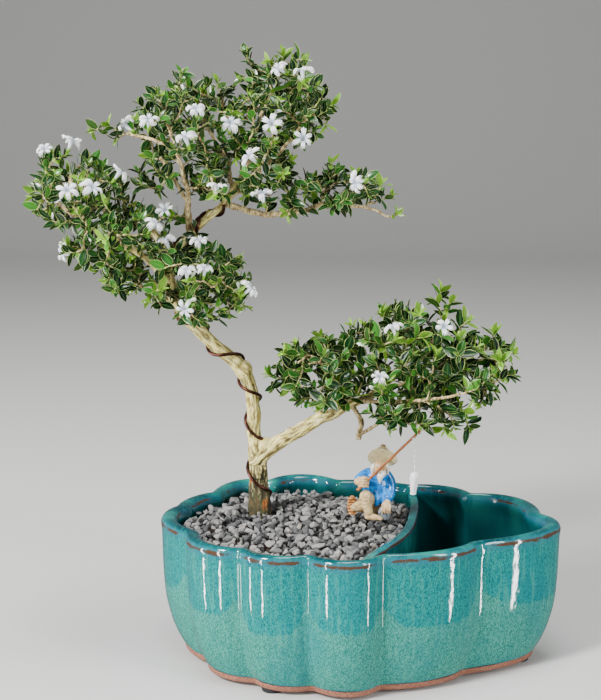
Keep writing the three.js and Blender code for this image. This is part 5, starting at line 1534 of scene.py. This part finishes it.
def add_bud_beside(shape, base, way, rng):
    """A closed bud on its own short stalk beside a flower: a club that swells to its blunt tip."""
    lean = unit(way + rng.normal(scale=BUD_STRAY, size=3) + (0, 0, BUD_UP))
    size = rng.uniform(*BUD_SIZES)
    foot = base + unit(rng.normal(size=3)) * BUD_AWAY
    start = foot + lean * BUD_STALK
    dense = along_route(BUD_PROFILE, np.linspace(0, 1, BUD_RINGS))
    line = start + np.outer(dense[:, 1] * size, lean)
    shape.add(*tube(line, np.maximum(dense[:, 0], 0.1) * size, BUD_SIDES), PETALS, throat=0.9)
    add_calyx(shape, start, lean, size)
    stalk = np.array([base - way, foot, start])
    shape.add(*tube(stalk, BUD_STALK_RADIUS, BUD_STALK_SIDES), LEAVES, young=0.8, tone=0.7)


def make_flowers():
    """One flower at each bloom's place. Some have a bud beside them."""
    rng = np.random.default_rng(FLOWER_SEED)
    for node, (base, way) in zip(BLOOM_NODES, BLOOMS):
        shape = Shape(["throat", "margin", "young", "tone"])
        add_flower(shape, base, way, rng, rng.uniform(*FLOWER_SIZES))
        if rng.uniform() < BUD_CHANCE:
            add_bud_beside(shape, base, way, rng)
        finish_piece(shape.build(node.replace("bloom", "flower"), [PETAL, LEAF]), "petal", node)


make_flowers()

# ---------------------------------------------------------------- fisherman

MAN = (12, 25, 90)  # the middle of the fisherman's seat, on the gravel


def man_at(dx, dy, dz):
    """A place on the fisherman, counted from the middle of the seat."""
    return np.array([MAN[0] + dx, MAN[1] + dy, MAN[2] + dz], float)


LIMB_RINGS, LIMB_SIDES, LIMB_END_RINGS = 14, 12, 8


def lump(shape, place, half):
    """An egg of clay with half-sizes along x, y and z, fused later with its neighbours."""
    shape.add(*ball(man_at(*place), half))


def limb(shape, points, radii):
    """A roll of clay along a smooth line through points, with round ends."""
    shares = np.linspace(0, 1, LIMB_RINGS)
    line = along_route([man_at(*p) for p in points], shares)
    thick = np.interp(shares, np.linspace(0, 1, len(radii)), radii)
    shape.add(*tube(line, thick, LIMB_SIDES))
    for end in (0, -1):
        shape.add(*ball(line[end], [thick[end]] * 3, LIMB_SIDES, LIMB_END_RINGS))


def tunic_parts(shape):
    """A loose tunic, widest at its hem, with both sleeves rolled to the elbow."""
    lump(shape, (3.0, -0.5, 21.5), (10.4, 8.2, 12.0))
    lump(shape, (3.6, -1.5, 14.0), (11.0, 8.8, 6.0))
    lump(shape, (3.4, -1.5, 29.3), (10.2, 6.6, 4.8))
    limb(shape, [(-2.5, -1.5, 31.0), (-6.5, -3.0, 29.4), (-9.6, -4.6, 26.8)], [4.2, 4.0, 3.9])
    limb(shape, [(10.5, -2, 30), (13.6, -3.5, 25), (13.8, -7, 19), (11.8, -10, 15)],
         [4.0, 3.7, 3.4, 3.5])
    for k in range(3):
        x = -4 + 6.6 * k
        limb(shape, [(x, -7.0, 22), (x + 0.6, -8.9, 15), (x + 0.3, -9.3, 10.5)], [1.1, 1.8, 2.2])


def leg_parts(shape):
    """Rolled trousers: the seat, the raised knee with its shin, and the other leg folded aside."""
    lump(shape, (0, 1.5, 6.4), (12.5, 9, 6.8))
    limb(shape, [(3, -1, 8), (-2, -7, 13), (-5.0, -12.4, 17.2)], [5.6, 5.0, 4.4])
    limb(shape, [(-5.0, -12.8, 17.2), (-4.0, -13.6, 10.6), (-2.8, -13.8, 5.4)], [4.5, 3.7, 3.3])
    limb(shape, [(-4, -2, 7), (-9, -5, 7.6), (-12.6, -5.6, 7.4)], [5.2, 4.8, 4.0])
    for k in range(3):
        limb(shape, [(-9.2, -12.0 - k * 0.2, 15.5 - 3 * k), (-5.4, -17.2 + 0.4 * k, 15.6 - 3 * k),
                     (-1.0, -13.6, 15.0 - 3 * k)], [0.6, 0.8, 0.6])


def skin_parts(shape):
    """Both hands, and the bare foot in front."""
    limb(shape, [(-10.4, -6.4, 26.4), (-8.2, -10.0, 27.4)], [3.0, 2.6])
    lump(shape, (-6.4, -12.4, 28.2), (4.0, 3.0, 4.0))
    for k in range(4):
        limb(shape, [(-10.0, -13.6, 31.2 - 2.0 * k), (-6.6, -16.2, 31.4 - 2.0 * k),
                     (-3.4, -14.2, 30.8 - 2.0 * k)], [0.85, 0.95, 0.8])
    limb(shape, [(11.8, -10.4, 15), (10.6, -12.2, 12)], [2.4, 2.2])
    lump(shape, (10, -12.8, 11.2), (3.2, 2.2, 2.6))
    for k in range(4):
        limb(shape, [(7.3 + 1.75 * k, -14.4, 11.2), (6.9 + 1.85 * k, -15.4, 7.8),
                     (7.1 + 1.8 * k, -14.6, 5.0)], [0.8, 0.82, 0.6])
    limb(shape, [(-3.0, -13.8, 5.6), (-2.4, -13.9, 3.0)], [2.5, 2.6])
    limb(shape, [(-3.2, -13.6, 2.4), (1.5, -14.8, 2.0), (5.6, -15.4, 1.3)], [2.7, 2.4, 1.6])
    for k in range(4):
        limb(shape, [(4.6, -14.2 - 0.85 * k, 1.3), (7.2 - 0.5 * k, -14.4 - 1.0 * k, 0.9)], [0.75, 0.65])


def head_parts(shape):
    """A calm, plain face on a rounded head: cheeks, brow, closed eyelids, a straight nose, closed
    lips, ears and neck."""
    lump(shape, (5.5, -8.0, 37.6), (4.7, 4.6, 5.3))
    lump(shape, (5.5, -11.0, 35.2), (3.0, 1.9, 2.5))
    lump(shape, (5.5, -11.9, 39.3), (3.4, 0.9, 0.7))
    limb(shape, [(5.5, -12.2, 38.9), (5.5, -13.7, 36.9)], [0.65, 1.0])
    limb(shape, [(4.6, -12.9, 34.5), (5.5, -13.1, 34.4), (6.4, -12.9, 34.5)], [0.35, 0.45, 0.35])
    for cheek in (-1, 1):
        lump(shape, (5.5 + 2.4 * cheek, -11.4, 36.3), (1.4, 1.2, 1.2))
        lump(shape, (5.5 + 1.9 * cheek, -12.0, 38.0), (1.0, 0.6, 0.6))
        lump(shape, (5.5 + 4.6 * cheek, -8.2, 37.2), (0.7, 1.1, 1.6))
    limb(shape, [(5.3, -6, 34.5), (4.4, -3, 30)], [3.3, 3.6])


def hair_parts(shape):
    """A moustache, a long pointed beard in two strands, and hair down to the collar."""
    limb(shape, [(2.6, -11.4, 34.8), (4.7, -12.8, 32.6), (5.1, -13.0, 29.4), (5.0, -12.8, 26.6)],
         [1.3, 2.3, 1.6, 0.5])
    limb(shape, [(8.4, -11.4, 34.8), (6.4, -12.8, 32.4), (5.6, -12.9, 29.6)], [1.3, 2.2, 1.2])
    for k in (-1, 1):
        limb(shape, [(5.5 + 0.7 * k, -13.0, 35.7), (5.5 + 2.5 * k, -12.9, 35.0),
                     (5.5 + 4.2 * k, -11.8, 32.8)], [0.75, 0.9, 0.45])
        limb(shape, [(5.5 + 4.6 * k, -8.8, 39.8), (5.5 + 5.4 * k, -8.4, 36.4),
                     (5.5 + 5.4 * k, -7.4, 32.6)], [1.2, 1.7, 1.1])
        limb(shape, [(5.5 + 0.9 * k, -12.7, 39.7), (5.5 + 2.9 * k, -12.2, 39.9)], [0.5, 0.55])
    lump(shape, (5.4, -4.8, 36.0), (4.9, 3.4, 4.8))


HAT_TIPPED_BACK, HAT_TIPPED_ASIDE = 0.85, 0.2  # radians
HAT_PLACE = (7, -4.4, 43.6)
# The hat from the middle of its underside, out to the brim's edge and up to its knob: radius, height
HAT_PROFILE = [(0.0, 1.6), (4.6, 1.1), (8.5, 0.2), (10.6, -0.7), (11.0, -0.1), (8.4, 1.7), (5.9, 3.2),
               (5.0, 5.4), (3.5, 7.8), (2.0, 8.8), (1.7, 10.0), (1.1, 10.8), (0.0, 11.0)]
PLAIT_DEPTH, PLAIT_SPACING = 0.16, 1.5
BRIM_UNEVENNESS, BRIM_DROOP, BRIM_REACH = 0.035, 0.5, 10  # it droops so much at this reach
CREEL_PROFILE = [(0, -1), (3.4, -1), (4.4, 1.5), (4.6, 4), (3.9, 6.4), (2.8, 7.3), (3.0, 8.2), (0, 8.4)]
CREEL_PLACE = (8.5, -9.4, 0)


def turned_clay(profile, rings, sides):
    """Corners and faces of a round piece, with no radius below 0."""
    return spun(np.maximum(along_route(profile, np.linspace(0, 1, rings)), (0, -5)), sides)


def on_head(corners):
    """The hat's own corners tipped back and aside, and set on the head."""
    c, s = math.cos(HAT_TIPPED_BACK), math.sin(HAT_TIPPED_BACK)
    corners = corners @ np.array([[1, 0, 0], [0, c, -s], [0, s, c]])
    c, s = math.cos(HAT_TIPPED_ASIDE), math.sin(HAT_TIPPED_ASIDE)
    corners = corners @ np.array([[c, 0, -s], [0, 1, 0], [s, 0, c]])
    return corners + man_at(*HAT_PLACE)


def hat_parts(shape):
    """A wide straw hat, tipped far back: a drooping brim, a round crown and a knob, with the rounds
    of its plait pressed into the brim."""
    corners, faces = turned_clay(HAT_PROFILE, 80, 44)
    radius = np.hypot(corners[:, 0], corners[:, 1])
    corners[:, 2] += PLAIT_DEPTH * np.cos(radius * 2 * math.pi / PLAIT_SPACING)
    around = np.arctan2(corners[:, 1], corners[:, 0])
    corners[:, :2] *= (1 + BRIM_UNEVENNESS * np.cos(3 * around + 0.7))[:, None]
    corners[:, 2] -= BRIM_DROOP * (radius / BRIM_REACH) ** 2 * np.cos(2 * around)
    shape.add(on_head(corners), faces)


def eye_and_knob_parts(shape):
    """The closed eyes as two fine strokes of brown glaze, and the hat's fired knob."""
    for eye in (-1, 1):
        limb(shape, [(5.5 + 1.0 * eye, -12.6, 37.8), (5.5 + 1.9 * eye, -12.6, 37.5),
                     (5.5 + 2.8 * eye, -12.3, 37.8)], [0.22, 0.3, 0.22])
    corners, faces = ball((0, 0, 9.6), [2.2, 2.2, 1.9])
    shape.add(on_head(corners), faces)


def sole_parts(shape):
    """The folded leg's bare foot, sole out, with its toes in a row."""
    lump(shape, (-14.4, -5.0, 8.0), (3.6, 2.6, 7.6))
    for k in range(6):
        lump(shape, (-15.2 + 0.2 * k, -7.2, 13.8 - 2.3 * k), (3.4, 1.2, 0.85))


def creel_parts(shape):
    """A small round creel with a waist below its lid."""
    corners, faces = turned_clay(CREEL_PROFILE, 30, 28)
    shape.add(corners + man_at(*CREEL_PLACE), faces)


SOFT_CLAY, CRISP_CLAY = (0.45, 3), (0.28, 2)  # the clay's grain, and how much it is smoothed
FISHERMAN = [
    ("tunic", TUNIC_BLUE, tunic_parts, SOFT_CLAY), ("legs", FIGURE_CLAY, leg_parts, SOFT_CLAY),
    ("skin", FACE_CLAY, skin_parts, CRISP_CLAY), ("head", FACE_CLAY, head_parts, CRISP_CLAY),
    ("hair", HAIR_WHITE, hair_parts, CRISP_CLAY), ("hat", HAT_STRAW, hat_parts, SOFT_CLAY),
    ("sole", RUST_CLAY, sole_parts, CRISP_CLAY), ("creel", CREEL_GREY, creel_parts, SOFT_CLAY),
    ("eyes_and_knob", RUST_CLAY, eye_and_knob_parts, CRISP_CLAY),
]


def make_fisherman():
    """The seated clay figure, in parts that keep their own glaze colours."""
    for name, material, parts, (grain, smoothing) in FISHERMAN:
        shape = Shape()
        parts(shape)
        piece = melted(shape.build(f"fisherman_{name}", [material]), grain, smoothing)
        finish_piece(piece, "clay_glaze", "fisherman")


make_fisherman()

ROD_POINTS, ROD_SIDES, ROD_TAPER = 90, 14, 0.12
ROD_JOINTS, ROD_JOINT_WIDTH, ROD_JOINT_RISE = 14, 0.7, 0.18
FIRST_JOINT = 3  # from the butt


def make_rod():
    """A bamboo rod that tapers a little, with a raised joint every 14 mm."""
    butt, tip = np.array(ROD_BUTT, float), np.array(ROD_TIP, float)
    shares = np.linspace(0, 1, ROD_POINTS)
    line = butt + (tip - butt) * shares[:, None]
    past_joint = (shares * np.linalg.norm(tip - butt) + ROD_JOINTS / 2 - FIRST_JOINT) % ROD_JOINTS
    joint = np.exp(-((past_joint - ROD_JOINTS / 2) / ROD_JOINT_WIDTH) ** 2)
    shape = Shape()
    radius = ROD_RADIUS * (1.0 - ROD_TAPER * shares) + ROD_JOINT_RISE * joint
    shape.add(*tube(line, radius, ROD_SIDES))
    return finish_piece(shape.build("bamboo_rod", [BAMBOO]), "bamboo", "rod")


make_rod()

# ---------------------------------------------------------------- studio

# The studio is in metres in the part's frame
FLOOR_FRONT, SWEEP_START, SWEEP_RADIUS, SWEEP_TOP = -4.0, 2.4, 1.6, 5.0
FLOOR_HALF_WIDTH, SWEEP_POINTS = 5.0, 25
PLANT_MIDDLE = (0, 0, 0.16)
# Rectangular soft lights: name, place, width and height, and watts
SOFTBOXES = [
    ("left_softbox", (-1.2, -1.1, 1.45), (0.36, 0.45), 76),
    ("right_softbox", (1.5, -1.2, 1.0), (0.24, 0.9), 16),
    ("top_softbox", (0.1, -0.1, 1.7), (0.9, 0.6), 23),
]
# Narrow upright lights round the pot: name, degrees to the right of its front, and watts
STRIPS = [("far_left_strip", -80, 16), ("left_strip", -46, 16), ("right_strip", 62, 12)]
STRIP_WIDTH, STRIP_LOW, STRIP_HIGH, STRIP_AWAY = 0.045, -0.5, 0.5, 1.3
ROOM_LIGHT, ROOM_STRENGTH = "#dfe2e6", 0.32


def make_floor():
    """A pale paper sweep: flat under the pot, then curved up behind it. Reflections pass it by, so
    that the low ends of the strip lights show in the glaze."""
    curve = [(SWEEP_START + SWEEP_RADIUS * math.sin(a), SWEEP_RADIUS * (1 - math.cos(a)))
             for a in np.linspace(0, math.pi / 2, SWEEP_POINTS)]
    profile = [(FLOOR_FRONT, 0.0), *curve, (SWEEP_START + SWEEP_RADIUS, SWEEP_TOP)]
    corners = [(x * FLOOR_HALF_WIDTH, y, z) for y, z in profile for x in (-1, 1)]
    mesh = bpy.data.meshes.new("floor")
    mesh.from_pydata(corners, [], grid_faces(len(profile), 2))
    mesh.polygons.foreach_set("use_smooth", [True] * (len(profile) - 1))
    mesh.materials.append(floor_finish())
    floor = new_object("floor", mesh)
    floor.visible_glossy = False


def soft_light(name, place, size, power, aim=PLANT_MIDDLE):
    """A rectangular soft light that faces a place."""
    data = bpy.data.lights.new(name, "AREA")
    data.shape, data.size, data.size_y, data.energy = "RECTANGLE", *size, power
    light = new_object(name, data)
    light.location = place
    light.rotation_euler = (Vector(aim) - Vector(place)).to_track_quat("-Z", "Y").to_euler()


def make_lights():
    """Even light from the room, three softboxes on the plant, and strips that show in the glaze."""
    world = bpy.data.worlds.new("studio")
    world.use_nodes = True
    background = world.node_tree.nodes["Background"].inputs
    background["Color"].default_value = colour(ROOM_LIGHT)
    background["Strength"].default_value = ROOM_STRENGTH
    bpy.context.scene.world = world
    for name, place, size, power in SOFTBOXES:
        soft_light(name, place, size, power)
    middle = (STRIP_LOW + STRIP_HIGH) / 2
    for name, degrees, power in STRIPS:
        angle = math.radians(degrees)
        place = (STRIP_AWAY * math.sin(angle), -STRIP_AWAY * math.cos(angle), middle)
        soft_light(name, place, (STRIP_WIDTH, STRIP_HIGH - STRIP_LOW), power, (0, 0, middle))


make_floor()
make_lights()
